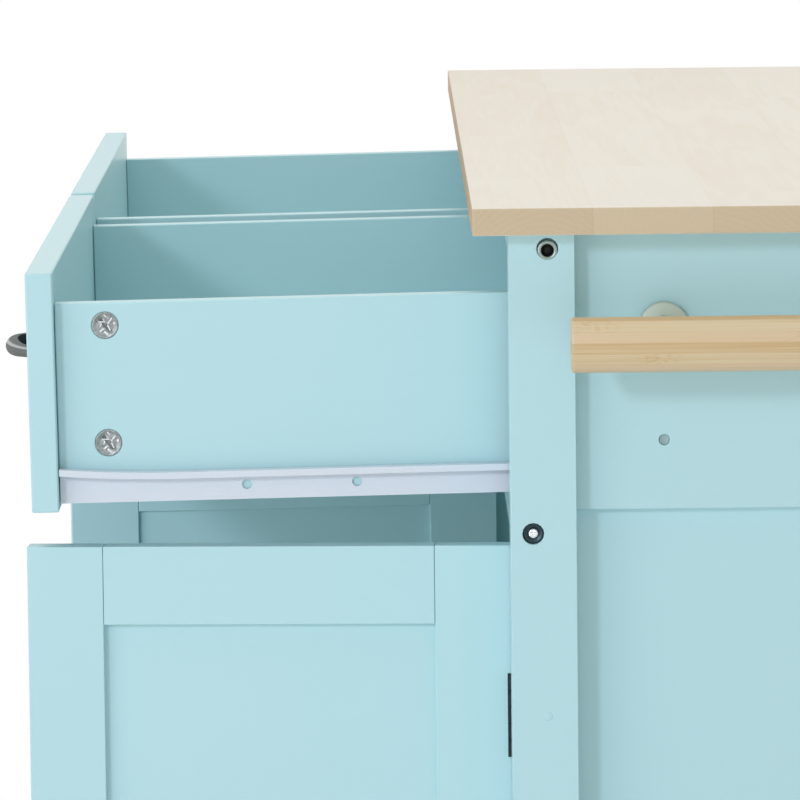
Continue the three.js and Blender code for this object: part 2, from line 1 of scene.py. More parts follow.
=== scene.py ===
"""Looks of a painted kitchen island unit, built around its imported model."""

import logging
import math
import zlib
from dataclasses import dataclass, replace
from enum import Enum

import bmesh
import bpy
from mathutils import Matrix, Vector


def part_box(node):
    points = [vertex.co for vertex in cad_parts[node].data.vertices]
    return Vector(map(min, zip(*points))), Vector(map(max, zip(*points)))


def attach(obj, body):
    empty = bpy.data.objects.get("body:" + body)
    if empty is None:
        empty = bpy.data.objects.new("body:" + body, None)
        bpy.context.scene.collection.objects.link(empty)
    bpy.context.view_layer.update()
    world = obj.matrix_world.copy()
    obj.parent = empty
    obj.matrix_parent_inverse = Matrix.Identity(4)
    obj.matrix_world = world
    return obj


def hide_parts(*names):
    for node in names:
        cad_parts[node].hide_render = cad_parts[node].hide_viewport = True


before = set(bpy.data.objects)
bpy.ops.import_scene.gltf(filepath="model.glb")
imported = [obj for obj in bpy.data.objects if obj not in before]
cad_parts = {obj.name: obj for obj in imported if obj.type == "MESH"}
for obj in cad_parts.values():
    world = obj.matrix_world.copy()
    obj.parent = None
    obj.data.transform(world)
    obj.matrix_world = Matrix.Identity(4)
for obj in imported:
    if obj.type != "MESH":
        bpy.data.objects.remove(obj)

MM = 0.001
IMAGE_SIDE = 800
GRAIN = "grain"
FACING = "facing"
QUARTER = 90
WHITE = (1.0, 1.0, 1.0)

# Copied meshes: vertices this close are one, faces that turn less are one, shorter edges go.
WELD = 1e-6
FLAT_DEGREES = 0.4
SLIVER = 0.03 * MM

# Faces that turn by an angle in this range (radians) belong to one curved surface.
CURVED = (0.02, 0.6)
# A board's edge, and a sharp corner of a turned part, turn by more than this.
EDGE_DEGREES = 35
RING_DEGREES = 32

# Each part's fibres are shifted by whole steps below these numbers, so no two parts match.
GRAIN_SHIFTS = (97, 89, 83)
GRAIN_STEP = 0.37
# A row's seed comes from where it starts, in millimetres.
SEED_WEIGHTS = (1, 3, 7)
SEED_RANGE = 89
PER_METRE = 1000

# Sockets that share their name with another of the same node.
COLOUR_A, COLOUR_B, COLOUR_OUT = 6, 7, 2
RANDOM_MIN, RANDOM_MAX, RANDOM_SEED, RANDOM_OUT = 2, 3, 8, 1

log = logging.getLogger("island")

Span = tuple[float, float]
Point = tuple[float, float, float]
Colour = tuple[float, float, float, float]
Profile = list[Span]
Rings = tuple[Span, ...]


class Run(Enum):
    """The axis of its sub-assembly that a board's fibres run along."""

    X = ((1, 0, 0), (0, 1, 0), (0, 0, 1))
    Y = ((0, 1, 0), (1, 0, 0), (0, 0, 1))
    Z = ((0, 0, 1), (1, 0, 0), (0, 1, 0))

    def turn(self) -> Matrix:
        """Returns: the turn that brings the fibres onto the first axis."""
        return Matrix(self.value)


class Hand(Enum):
    """Which half of the unit a piece belongs to, with its sign along X."""

    RIGHT = 1
    LEFT = -1

    @property
    def word(self) -> str:
        """Returns: the hand as it stands in node names."""
        return self.name.lower()


# ---------- node graphs ----------


class Signal:
    """A node's output that does maths with numbers and with other outputs."""

    def __init__(self, graph: "Graph", socket: bpy.types.NodeSocket) -> None:
        """Args: graph: its graph. socket: the output that it stands for."""
        self.graph = graph
        self.socket = socket

    def maths(self, operation: str, *operands: "float | Signal") -> "Signal":
        """Feeds a maths node.

        Args:
            operation: the node's operation.
            operands: its inputs, in order.
        Returns:
            The node's result.
        """
        inputs = dict(enumerate(operands))
        return self.graph.out("ShaderNodeMath", {"operation": operation}, inputs)

    def __add__(self, other: "float | Signal") -> "Signal":
        """Args: other: the other operand. Returns: the sum."""
        return self.maths("ADD", self, other)

    def __radd__(self, other: float) -> "Signal":
        """Args: other: the other operand. Returns: the sum."""
        return self.maths("ADD", other, self)

    def __sub__(self, other: "float | Signal") -> "Signal":
        """Args: other: the other operand. Returns: the difference."""
        return self.maths("SUBTRACT", self, other)

    def __rsub__(self, other: float) -> "Signal":
        """Args: other: the other operand. Returns: the difference."""
        return self.maths("SUBTRACT", other, self)

    def __mul__(self, other: "float | Signal") -> "Signal":
        """Args: other: the other operand. Returns: the product."""
        return self.maths("MULTIPLY", self, other)

    def __rmul__(self, other: float) -> "Signal":
        """Args: other: the other operand. Returns: the product."""
        return self.maths("MULTIPLY", other, self)

    def __truediv__(self, other: "float | Signal") -> "Signal":
        """Args: other: the other operand. Returns: the quotient."""
        return self.maths("DIVIDE", self, other)

    def __rtruediv__(self, other: float) -> "Signal":
        """Args: other: the other operand. Returns: the quotient."""
        return self.maths("DIVIDE", other, self)

    def __pow__(self, other: "float | Signal") -> "Signal":
        """Args: other: the other operand. Returns: the power."""
        return self.maths("POWER", self, other)

    def floor(self) -> "Signal":
        """Returns: the whole number below."""
        return self.maths("FLOOR", self)

    def fraction(self) -> "Signal":
        """Returns: what is left above the whole number below."""
        return self.maths("FRACT", self)

    def sine(self) -> "Signal":
        """Returns: its sine."""
        return self.maths("SINE", self)

    def cosine(self) -> "Signal":
        """Returns: its cosine."""
        return self.maths("COSINE", self)

    def size(self) -> "Signal":
        """Returns: its value without sign."""
        return self.maths("ABSOLUTE", self)

    def swing(self) -> "Signal":
        """Returns: how far it lies above one half."""
        return self - 0.5

    def ramp(self, low: float, high: float) -> "Signal":
        """Eases from 0 to 1.

        Args:
            low: where 0 ends.
            high: where 1 starts.
        Returns:
            The eased value.
        """
        inputs = {"Value": self, "From Min": low, "From Max": high}
        settings = {"interpolation_type": "SMOOTHSTEP"}
        return self.graph.out("ShaderNodeMapRange", settings, inputs)


class Graph:
    """A node tree, filled one node at a time."""

    def __init__(self, tree: bpy.types.NodeTree) -> None:
        """Args: tree: the tree to fill."""
        self.tree = tree

    def feed(self, socket: bpy.types.NodeSocket, value: object) -> None:
        """Sets an input.

        Args:
            socket: the input.
            value: a signal to link, or the value to set.
        """
        if isinstance(value, Signal):
            self.tree.links.new(value.socket, socket)
        else:
            socket.default_value = value

    def node(
        self,
        kind: str,
        settings: dict[str, object] | None = None,
        inputs: dict[int | str, object] | None = None,
    ) -> bpy.types.Node:
        """Adds a node.

        Args:
            kind: its type.
            settings: its own properties, set first.
            inputs: values and signals for its inputs.
        Returns:
            The node.
        """
        made = self.tree.nodes.new(kind)
        for name, value in (settings or {}).items():
            setattr(made, name, value)
        for key, value in (inputs or {}).items():
            self.feed(made.inputs[key], value)
        return made

    def out(
        self,
        kind: str,
        settings: dict[str, object] | None = None,
        inputs: dict[int | str, object] | None = None,
        output: int | str = 0,
    ) -> Signal:
        """Adds a node and takes one of its outputs.

        Args:
            kind: its type.
            settings: its own properties, set first.
            inputs: values and signals for its inputs.
            output: which output.
        Returns:
            That output.
        """
        return Signal(self, self.node(kind, settings, inputs).outputs[output])

    def split(self, vector: Signal) -> tuple[Signal, Signal, Signal]:
        """Args: vector: a vector. Returns: its three parts."""
        parts = self.node("ShaderNodeSeparateXYZ", None, {0: vector})
        return tuple(Signal(self, output) for output in parts.outputs)

    def join(self, x: object, y: object, z: object) -> Signal:
        """Args: x, y, z: the parts. Returns: the vector."""
        return self.out("ShaderNodeCombineXYZ", None, {0: x, 1: y, 2: z})

    def scaled(self, vector: Signal, by: Point) -> Signal:
        """Args: vector: a vector. by: a factor for each part. Returns: the product."""
        return self.out("ShaderNodeVectorMath", {"operation": "MULTIPLY"}, {0: vector, 1: by})

    def stretched(self, parts: tuple[Signal, Signal, Signal], scale: Point,
                  shift: Signal | None = None) -> Signal:
        """Scales a place part by part.

        Args:
            parts: its parts along, across and up.
            scale: a factor for each part.
            shift: what the first part is moved by.
        Returns:
            The scaled place.
        """
        along, across, up = (part * factor for part, factor in zip(parts, scale))
        return self.join(along + shift if shift else along, across, up)

    def noise(self, vector: Signal, scale: float = 1.0, detail: float = 2.0) -> Signal:
        """Args: vector: where. scale: per metre. detail: octaves. Returns: a value about 0.5."""
        inputs = {"Vector": vector, "Scale": scale, "Detail": detail}
        return self.out("ShaderNodeTexNoise", None, inputs, "Fac")

    def chance(self, vector: Signal) -> Signal:
        """Args: vector: whole-number cell. Returns: an even chance from 0 to 1."""
        return self.out("ShaderNodeTexWhiteNoise", {"noise_dimensions": "3D"}, {"Vector": vector})

    def mix(self, share: object, first: object, second: object) -> Signal:
        """Args: share: of the second. first, second: colours. Returns: the mixed colour."""
        inputs = {"Factor": share, COLOUR_A: first, COLOUR_B: second}
        return self.out("ShaderNodeMix", {"data_type": "RGBA"}, inputs, COLOUR_OUT)

    def toned(self, colour: object, by: Signal) -> Signal:
        """Makes a colour lighter or darker.

        Args:
            colour: the colour.
            by: a factor about 1.
        Returns:
            The toned colour.
        """
        inputs = {"Factor": 1.0, COLOUR_A: colour, COLOUR_B: self.join(by, by, by)}
        settings = {"data_type": "RGBA", "blend_type": "MULTIPLY"}
        return self.out("ShaderNodeMix", settings, inputs, COLOUR_OUT)

    def bump(self, height: Signal, depth: float, below: Signal | None = None) -> Signal:
        """Turns a height into a normal.

        Args:
            height: from 0 to 1.
            depth: how far 1 stands up, in metres.
            below: a normal to add to.
        Returns:
            The normal.
        """
        inputs = {"Height": height, "Distance": depth, "Strength": 1.0}
        if below:
            inputs["Normal"] = below
        return self.out("ShaderNodeBump", None, inputs)


def tinted(red: int, green: int, blue: int) -> Colour:
    """Turns a screen colour into a linear one, by the standard curve.

    Args:
        red, green, blue: the screen colour, 0 to 255.
    Returns:
        The linear colour with full alpha.
    """
    full, knee, slope, lift, power = 255, 0.04045, 12.92, 0.055, 2.4
    linear = []
    for value in (red / full, green / full, blue / full):
        linear.append(value / slope if value <= knee else ((value + lift) / (1 + lift)) ** power)
    return (*linear, 1.0)


# ---------- finishes ----------


@dataclass(frozen=True)
class Finish:
    """A surface finish: a material whose nodes `dress` lays out."""

    name: str
    slot: str

    def material(self) -> bpy.types.Material:
        """Makes the finish's material, or finds it when it is there already.

        Returns:
            The material.
        """
        found = bpy.data.materials.get(self.name)
        if found:
            return found
        made = bpy.data.materials.new(self.name)
        made.use_nodes = True
        graph = Graph(made.node_tree)
        shader = made.node_tree.nodes["Principled BSDF"]
        for socket, value in self.dress(graph).items():
            graph.feed(shader.inputs[socket], value)
        return made

    def fibres(self, graph: Graph) -> Signal:
        """Args: graph: the material's graph. Returns: the place along and across the fibres."""
        return graph.out("ShaderNodeAttribute", {"attribute_name": GRAIN}, None, "Vector")

    def dress(self, graph: Graph) -> dict[str, object]:
        """Args: graph: the material's graph. Returns: what the shader's inputs get."""
        raise NotImplementedError


@dataclass(frozen=True)
class Paint(Finish):
    """Sprayed satin paint that lets the board's grain show very faintly."""

    colour: Colour = (0.4, 0.7, 0.7, 1.0)
    roughness: float = 0.42
    coat: float = 0.3
    mottle: float = 0.035
    cloud_scale: float = 5.0
    streak_scale: Point = (9.0, 260.0, 260.0)
    peel_scale: float = 700.0
    streak_tone: float = 0.4
    streak_relief: float = 0.45
    peel_relief: float = 0.55
    relief_depth: float = 0.02 * MM
    peel_gloss: float = 0.12
    cloud_gloss: float = 0.08
    coat_roughness: float = 0.2
    ior: float = 1.45

    def dress(self, graph: Graph) -> dict[str, object]:
        """Lays out the finish's nodes.

        Args:
            graph: the material's graph.
        Returns:
            What the shader's inputs get.
        """
        place = self.fibres(graph)
        cloud = graph.noise(place, self.cloud_scale)
        streaks = graph.noise(graph.scaled(place, self.streak_scale))
        peel = graph.noise(place, self.peel_scale)
        tone = 1.0 + cloud.swing() * self.mottle + streaks.swing() * (self.mottle * self.streak_tone)
        relief = streaks * self.streak_relief + peel * self.peel_relief
        gloss = self.roughness + peel.swing() * self.peel_gloss
        return {
            "Base Color": graph.toned(self.colour, tone),
            "Roughness": gloss + cloud.swing() * self.cloud_gloss,
            "Normal": graph.bump(relief, self.relief_depth),
            "Coat Weight": self.coat,
            "Coat Roughness": self.coat_roughness,
            "IOR": self.ior,
        }


@dataclass(frozen=True)
class StaveWood(Finish):
    """Solid staves glued edge to edge, finger-jointed along their length, under a matt lacquer."""

    pale: Colour = (0.7, 0.6, 0.5, 1.0)
    warm: Colour = (0.6, 0.5, 0.4, 1.0)
    end_pale: Colour = (0.5, 0.4, 0.3, 1.0)
    end_warm: Colour = (0.4, 0.3, 0.2, 1.0)
    # Darker, warmer colours for the worktop's front face: painted shade on the side that faces away from the
    # light.
    front_pale: Colour = tinted(190, 150, 106)
    front_warm: Colour = tinted(206, 170, 128)
    stave_width: float = 0.0654
    stave_start: float = -0.0988
    block_length: float = 0.34
    block_shift: float = 5.0
    block_seed: Span = (3.0, 7.0)
    heart_seed: Span = (11.0, 4.0)
    drift_scale: Span = (1.6, 22.0)
    drift_shift: float = 31.0
    fibre_scale: Point = (7.0, 420.0, 420.0)
    fibre_shift: float = 9.0
    pore_scale: Point = (45.0, 1500.0, 1500.0)
    pore_limits: Span = (0.68, 0.78)
    figure_scale: Point = (0.8, 9.0, 13.0)
    warmth: float = 0.42
    figure_warmth: float = 1.3
    tone_warmth: float = 0.45
    fibre_warmth: float = 0.45
    glue_limits: Span = (0.488, 0.5)
    butt_limits: Span = (0.4985, 0.5)
    glue_mark: float = 0.03
    butt_mark: float = 0.02
    pore_mark: float = 0.03
    end_limits: Span = (0.55, 0.8)
    front_limits: Span = (0.6, 0.85)
    top: float = 0.9
    pith_depth: float = 0.045
    pith_rise: float = 0.05
    pith_inset: float = 0.033
    pith_sway: float = 0.09
    wander_scale: Span = (60.0, 17.0)
    wander: float = 9.0
    ring_pace: float = 1900.0
    speck_scale: Point = (900.0, 900.0, 900.0)
    end_rings: float = 0.1
    end_tone: float = 0.75
    end_speck: float = 0.45
    end_glue: float = 0.07
    fibre_relief: float = 0.7
    pore_relief: float = -0.6
    relief_depth: float = 0.03 * MM
    roughness: float = 0.5
    fibre_gloss: float = 0.16
    pore_gloss: float = 0.1
    coat: float = 0.08
    coat_roughness: float = 0.35

    def rings(self, graph: Graph, across: Signal, up: Signal, stave: Signal, tone: Signal) -> Signal:
        """Draws the year rings of the end grain.

        Args:
            graph: the material's graph.
            across, up: the place across the fibres.
            stave: the stave's number.
            tone: the block's own value.
        Returns:
            The rings, from 0 to 1.
        """
        heart = graph.chance(graph.join(stave, *self.heart_seed)).swing()
        height = up - self.top + self.pith_depth + heart * self.pith_rise
        reach = (across - self.stave_start) - stave * self.stave_width - self.pith_inset
        reach = reach + heart * self.pith_sway
        radius = (height * height + reach * reach) ** 0.5
        fine, shift = self.wander_scale
        wander = graph.noise(graph.join(across * fine, up * fine, tone * shift), detail=3.0)
        return (radius * self.ring_pace + wander * self.wander).sine() * 0.5 + 0.5

    def dress(self, graph: Graph) -> dict[str, object]:
        """Lays out the finish's nodes.

        Args:
            graph: the material's graph.
        Returns:
            What the shader's inputs get.
        """
        place = graph.split(self.fibres(graph))
        along, across, up = place
        level = (across - self.stave_start) / self.stave_width
        stave = level.floor()
        shift = graph.chance(graph.join(stave, *self.block_seed))
        steps = along / self.block_length + shift * self.block_shift
        tone = graph.chance(graph.join(steps.floor(), stave, 1.0))
        slow, quick = self.drift_scale
        drift = graph.join(along * slow, across * quick + tone * self.drift_shift, up * quick)
        bend = graph.noise(drift, detail=3.0)
        fibre = graph.noise(graph.stretched(place, self.fibre_scale, tone * self.fibre_shift), detail=3.0)
        pores = graph.noise(graph.stretched(place, self.pore_scale), detail=1.0).ramp(*self.pore_limits)
        figure = graph.noise(graph.stretched((along, bend, tone), self.figure_scale))
        warmth = figure.swing() * self.figure_warmth + tone.swing() * self.tone_warmth
        warmth = warmth + fibre.swing() * self.fibre_warmth + self.warmth
        face = graph.mix(warmth.ramp(0.0, 1.0), self.pale, self.warm)
        glue = level.fraction().swing().size().ramp(*self.glue_limits)
        butt = steps.fraction().swing().size().ramp(*self.butt_limits)
        marks = 1.0 - glue * self.glue_mark - butt * self.butt_mark - pores * self.pore_mark
        face = graph.toned(face, marks)
        normal = graph.out("ShaderNodeTexCoord", None, None, "Normal")
        facing_x, facing_y, _ = graph.split(normal)
        rings = self.rings(graph, across, up, stave, tone)
        speck = graph.noise(graph.stretched(place, self.speck_scale))
        end_share = rings * self.end_rings + tone * self.end_tone + speck.swing() * self.end_speck
        end = graph.mix(end_share.ramp(0.0, 1.0), self.end_pale, self.end_warm)
        end = graph.toned(end, 1.0 - glue * self.end_glue)
        colour = graph.mix(facing_x.size().ramp(*self.end_limits), face, end)
        # Painted shade: faces that look to the front take the darker front colours.
        front = graph.mix(fibre, self.front_pale, self.front_warm)
        colour = graph.mix((0.0 - facing_y).ramp(*self.front_limits), colour, front)
        relief = fibre * self.fibre_relief + pores * self.pore_relief
        return {
            "Base Color": colour,
            "Roughness": self.roughness + fibre.swing() * self.fibre_gloss + pores * self.pore_gloss,
            "Normal": graph.bump(relief, self.relief_depth),
            "Coat Weight": self.coat,
            "Coat Roughness": self.coat_roughness,
        }


@dataclass(frozen=True)
class StripWood(Finish):
    """Thin strips of grass wood pressed together, with fine fibres and joints of the cane."""

    light: Colour = (0.7, 0.5, 0.3, 1.0)
    dark: Colour = (0.5, 0.35, 0.18, 1.0)
    blush: Colour = tinted(222, 186, 156)
    strip: float = 0.0058
    cane: float = 0.31
    joint_place: float = -0.0335
    joint_layer: float = 144.0
    joint_step: float = 0.37
    joint_width: float = 0.06
    sway_scale: Span = (2.0, 25.0)
    sway: float = 0.5
    tone_seed: Span = (5.0, 2.0)
    blush_seed: Span = (9.0, 4.0)
    fibre_scale: Point = (9.0, 900.0, 1100.0)
    fibre_shift: float = 20.0
    broad_scale: Point = (3.5, 110.0, 190.0)
    broad_shift: float = 11.0
    fleck_scale: Point = (260.0, 700.0, 700.0)
    fleck_limits: Span = (0.45, 0.7)
    seam_limits: Span = (0.41, 0.5)
    blush_limits: Span = (0.55, 0.95)
    blush_share: float = 0.35
    darkness: float = 0.2
    tone_dark: float = 0.55
    fibre_dark: float = 1.3
    broad_dark: float = 0.8
    seam_dark: float = 0.14
    joint_dark: float = 0.45
    fibre_relief: float = 0.8
    seam_relief: float = -0.5
    relief_depth: float = 0.035 * MM
    roughness: float = 0.48
    fibre_gloss: float = 0.18
    coat: float = 0.05
    coat_roughness: float = 0.2

    def dress(self, graph: Graph) -> dict[str, object]:
        """Lays out the finish's nodes.

        Args:
            graph: the material's graph.
        Returns:
            What the shader's inputs get.
        """
        place = graph.split(self.fibres(graph))
        along, _, up = place
        slow, quick = self.sway_scale
        sway = graph.noise(graph.join(along * slow, 0.0, up * quick), detail=1.0)
        level = up / self.strip + sway.swing() * self.sway
        layer = level.floor()
        tone = graph.chance(graph.join(layer, *self.tone_seed))
        fibre = graph.noise(graph.stretched(place, self.fibre_scale, tone * self.fibre_shift), detail=4.0)
        broad = graph.noise(graph.stretched(place, self.broad_scale, tone * self.broad_shift))
        seam = level.fraction().swing().size().ramp(*self.seam_limits)
        spot = (along - self.joint_place) / self.cane + (layer - self.joint_layer) * self.joint_step + 0.5
        joint = 1.0 - spot.fraction().swing().size().ramp(0.0, self.joint_width)
        fleck = graph.noise(graph.stretched(place, self.fleck_scale))
        mark = joint * fleck.ramp(*self.fleck_limits)
        share = tone * self.tone_dark + fibre.swing() * self.fibre_dark + broad.swing() * self.broad_dark
        share = share + self.darkness + seam * self.seam_dark + mark * self.joint_dark
        colour = graph.mix(share.ramp(0.0, 1.0), self.light, self.dark)
        blush = graph.chance(graph.join(layer, *self.blush_seed)).ramp(*self.blush_limits)
        relief = fibre * self.fibre_relief + seam * self.seam_relief
        return {
            "Base Color": graph.mix(blush * self.blush_share, colour, self.blush),
            "Roughness": self.roughness + fibre.swing() * self.fibre_gloss,
            "Normal": graph.bump(relief, self.relief_depth),
            "Coat Weight": self.coat,
            "Coat Roughness": self.coat_roughness,
        }


@dataclass(frozen=True)
class Metal(Finish):
    """A metal surface: brushed, cast or plated by how its texture is scaled."""

    colour: Colour = (0.5, 0.5, 0.5, 1.0)
    roughness: float = 0.35
    metallic: float = 1.0
    mottle: float = 0.15
    texture: float = 900.0
    relief: float = 0.02
    stretch: Point = (1.0, 1.0, 1.0)
    broad_scale: float = 0.16
    fine_mottle: float = 2.0
    fine_gloss: float = 0.25
    broad_gloss: float = 0.12

    def dress(self, graph: Graph) -> dict[str, object]:
        """Lays out the finish's nodes.

        Args:
            graph: the material's graph.
        Returns:
            What the shader's inputs get.
        """
        place = graph.scaled(self.fibres(graph), self.stretch)
        fine = graph.noise(place, self.texture, detail=3.0)
        broad = graph.noise(place, self.texture * self.broad_scale)
        tone = 1.0 + fine.swing() * self.mottle * self.fine_mottle + broad.swing() * self.mottle
        gloss = self.roughness + fine.swing() * self.fine_gloss
        return {
            "Base Color": graph.toned(self.colour, tone),
            "Metallic": self.metallic,
            "Roughness": gloss + broad.swing() * self.broad_gloss,
            "Normal": graph.bump(fine, self.relief * MM),
        }


@dataclass(frozen=True)
class DarkNickel(Metal):
    """Polished nickel with painted reflections: a painted highlight along its upper side, and painted shade
    and dark reflection below it and on the inner side that faces its mount.
    """

    # Colours of the painted highlight, and of the painted shade and dark reflection.
    worn: Colour = (0.9, 0.92, 0.92, 1.0)
    patina: Colour = (0.03, 0.033, 0.033, 1.0)
    # Bounds, on the up part of the normal, of the painted highlight band and of the painted shade below; and
    # on the part towards the mount, of the painted shade behind.
    stripe_start: Span = (0.38, 0.52)
    stripe_end: Span = (0.66, 0.85)
    below_start: Span = (0.24, 0.42)
    below_end: Span = (-0.95, -0.6)
    behind: Span = (0.2, 0.5)
    below_patina: float = 0.97
    # How much more metallic the painted highlight is; no specular, so the painted reflections stand in for
    # real ones.
    worn_shine: float = 0.55
    specular: float = 0.0

    def dress(self, graph: Graph) -> dict[str, object]:
        """Lays out the finish's nodes.

        Args:
            graph: the material's graph.
        Returns:
            What the shader's inputs get.
        """
        inputs = super().dress(graph)
        normal = graph.out("ShaderNodeAttribute", {"attribute_name": FACING}, None, "Vector")
        _, facing_y, facing_z = graph.split(normal)
        # Painted highlight band on the upper side; painted shade below and on the inner side.
        highlight_band = facing_z.ramp(*self.stripe_start) * (1.0 - facing_z.ramp(*self.stripe_end))
        below = (1.0 - facing_z.ramp(*self.below_start)) * facing_z.ramp(*self.below_end)
        behind = facing_y.ramp(*self.behind)
        # dark is the share of painted shade, bright the share of painted highlight.
        dark = (below * self.below_patina).maths("MAXIMUM", behind)
        bright = highlight_band * (1.0 - behind)
        colour = graph.mix(bright, inputs["Base Color"], self.worn)
        inputs["Base Color"] = graph.mix(dark, colour, self.patina)
        # The painted highlight is more metallic; the painted shade is not metallic.
        inputs["Metallic"] = (self.metallic + bright * self.worn_shine) * (1.0 - dark)
        inputs["Specular IOR Level"] = self.specular
        return inputs


@dataclass(frozen=True)
class Plastic(Finish):
    """Moulded plastic with a fine spark-eroded skin."""

    colour: Colour = (0.8, 0.8, 0.8, 1.0)
    roughness: float = 0.4
    skin_scale: float = 1600.0
    flow_scale: float = 60.0
    flow_tone: float = 0.08
    skin_tone: float = 0.05
    skin_gloss: float = 0.2
    relief_depth: float = 0.015 * MM

    def dress(self, graph: Graph) -> dict[str, object]:
        """Lays out the finish's nodes.

        Args:
            graph: the material's graph.
        Returns:
            What the shader's inputs get.
        """
        place = self.fibres(graph)
        skin = graph.noise(place, self.skin_scale)
        flow = graph.noise(place, self.flow_scale)
        tone = 1.0 + flow.swing() * self.flow_tone + skin.swing() * self.skin_tone
        return {
            "Base Color": graph.toned(self.colour, tone),
            "Roughness": self.roughness + skin.swing() * self.skin_gloss,
            "Normal": graph.bump(skin, self.relief_depth),
        }


MINT = Paint("mint_paint_satin", "mint_paint", tinted(181, 220, 227))
# A lighter copy of the mint paint for the inner boards: the extra lightness is painted light on boards that
# stand in shade.
LINING_PAINTED_LIGHT = Paint(
    "mint_lining_board", "mint_lining", tinted(196, 230, 233), roughness=0.5, coat=0.1, mottle=0.05,
)
WORKTOP_WOOD = StaveWood(
    "worktop_staves", "worktop_wood", pale=tinted(234, 227, 216), warm=tinted(228, 218, 202),
    end_pale=tinted(206, 188, 158), end_warm=tinted(190, 169, 136),
)
BAR_WOOD = StripWood(
    "bar_strips", "bar_wood", light=tinted(213, 195, 160), dark=tinted(198, 167, 120),
)
# Satin grey metal; the green tint in its colour is painted reflection of the mint rail beside it.
BRACKET_METAL = Metal(
    "bracket_satin", "bracket_metal", tinted(188, 201, 190), roughness=0.5, metallic=0.2,
    mottle=0.05, texture=700.0,
)
# Nickel of the handles, with its painted highlight and painted shade.
HANDLE_METAL = DarkNickel(
    "handle_nickel", "handle_metal", tinted(150, 155, 153), roughness=0.28, metallic=0.35,
    mottle=0.1, texture=500.0, relief=0.01, stretch=(0.2, 3.0, 3.0),
)
HINGE_METAL = Metal(
    "hinge_black", "hinge_metal", tinted(22, 23, 25), roughness=0.5, metallic=0.3, mottle=0.25,
    texture=700.0,
)
RUNNER_METAL = Metal(
    "runner_coated", "runner_metal", tinted(212, 221, 232), roughness=0.4, metallic=0.0,
    mottle=0.03, texture=800.0, relief=0.02,
)
CAM_METAL = Metal(
    "cam_cast_zinc", "handle_metal", tinted(146, 152, 152), roughness=0.42, metallic=0.7,
    mottle=0.8, texture=800.0, relief=0.1,
)
# Brighter zinc for the ribs in the cams' cross recess.
CAM_BRIGHT = Metal(
    "cam_worn_zinc", "handle_metal", tinted(214, 217, 220), roughness=0.3, metallic=0.6,
    mottle=0.2, texture=560.0, relief=0.03,
)
BOLT_DARK = Metal(
    "bolt_oxidised", "hinge_metal", tinted(52, 68, 74), roughness=0.35, metallic=0.8, mottle=0.3,
    texture=800.0,
)
BOLT_BRIGHT = Metal(
    "bolt_bright", "handle_metal", tinted(225, 228, 230), roughness=0.2, metallic=1.0, mottle=0.1,
    texture=600.0,
)
SLEEVE_METAL = Metal(
    "sleeve_plated", "handle_metal", tinted(152, 165, 160), roughness=0.35, metallic=0.7,
    mottle=0.35, texture=700.0, relief=0.06,
)
# A black disc deep in the sleeves' bores: painted shade of the empty hole.
BORE_PAINTED_SHADE = Metal(
    "bore_black", "hinge_metal", tinted(14, 15, 16), roughness=0.7, metallic=0.0, mottle=0.2,
    texture=500.0,
)
PLUG_GREY = Plastic("plug_grey", "handle_metal", tinted(150, 178, 182), roughness=0.5)
ROLLER_PLASTIC = Plastic("roller_nylon", "roller_plastic", tinted(232, 233, 230))


# ---------- meshes ----------


def linked(name: str, data: bpy.types.ID) -> bpy.types.Object:
    """Puts a new object into the scene.

    Args:
        name: its name.
        data: what it shows.
    Returns:
        The object.
    """
    holder = bpy.data.objects.new(name, data)
    bpy.context.scene.collection.objects.link(holder)
    return holder


class Form:
    """A mesh being made, each vertex carrying its place along and across its own fibres."""

    def __init__(self, name: str) -> None:
        """Starts with no parts.

        Args:
            name: the finished piece's name.
        """
        self.name = name
        self.mesh = bmesh.new()
        self.mesh.verts.layers.float_vector.new(GRAIN)
        self.mesh.verts.layers.float_vector.new(FACING)
        self.finishes: list[Finish] = []
        self.parts = 0

    def take(self, part: bmesh.types.BMesh, finish: Finish, run: Run,
             inward: Matrix | None = None) -> None:
        """Adds a closed part, marks its fibres and its finish, and frees it.

        Args:
            part: the part.
            finish: its finish.
            run: the axis that its fibres follow.
            inward: the turn from its own place into the sub-assembly's axes.
        """
        if finish not in self.finishes:
            self.finishes.append(finish)
        number = self.finishes.index(finish)
        self.parts += 1
        first, second, third = GRAIN_SHIFTS
        seed = zlib.crc32(f"{self.name}{self.parts}".encode())
        shifts = (seed % first, seed // first % second, seed // (first * second) % third)
        offset = Vector() if finish in (WORKTOP_WOOD, BAR_WOOD) else Vector(shifts) * GRAIN_STEP
        layers = part.verts.layers.float_vector
        for name in (GRAIN, FACING):
            if layers.get(name) is None:
                layers.new(name)
        grain, facing = layers.get(GRAIN), layers.get(FACING)
        turn = run.turn()
        part.normal_update()
        for vertex in part.verts:
            place = inward @ vertex.co if inward else vertex.co
            vertex[grain] = turn @ place + offset
            vertex[facing] = vertex.normal
        for face in part.faces:
            face.material_index = number
        bmesh.ops.recalc_face_normals(part, faces=part.faces)
        carrier = bpy.data.meshes.new("carrier")
        part.to_mesh(carrier)
        part.free()
        self.mesh.from_mesh(carrier)
        bpy.data.meshes.remove(carrier)

    def settle(self, body: str, stand: Matrix | None = None, *nodes: str) -> None:
        """Makes the finished piece, riding on its body.

        Args:
            body: the body that it moves with.
            stand: where its sub-assembly stands.
            nodes: the model's nodes that it stands for.
        """
        if stand is not None:
            self.mesh.transform(stand)
        data = bpy.data.meshes.new(self.name)
        self.mesh.to_mesh(data)
        self.mesh.free()
        for finish in self.finishes:
            data.materials.append(finish.material())
        piece = linked(self.name, data)
        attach(piece, body)
        if nodes:
            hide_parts(*nodes)
        log.info("%s on %s: %d faces", self.name, body, len(data.polygons))


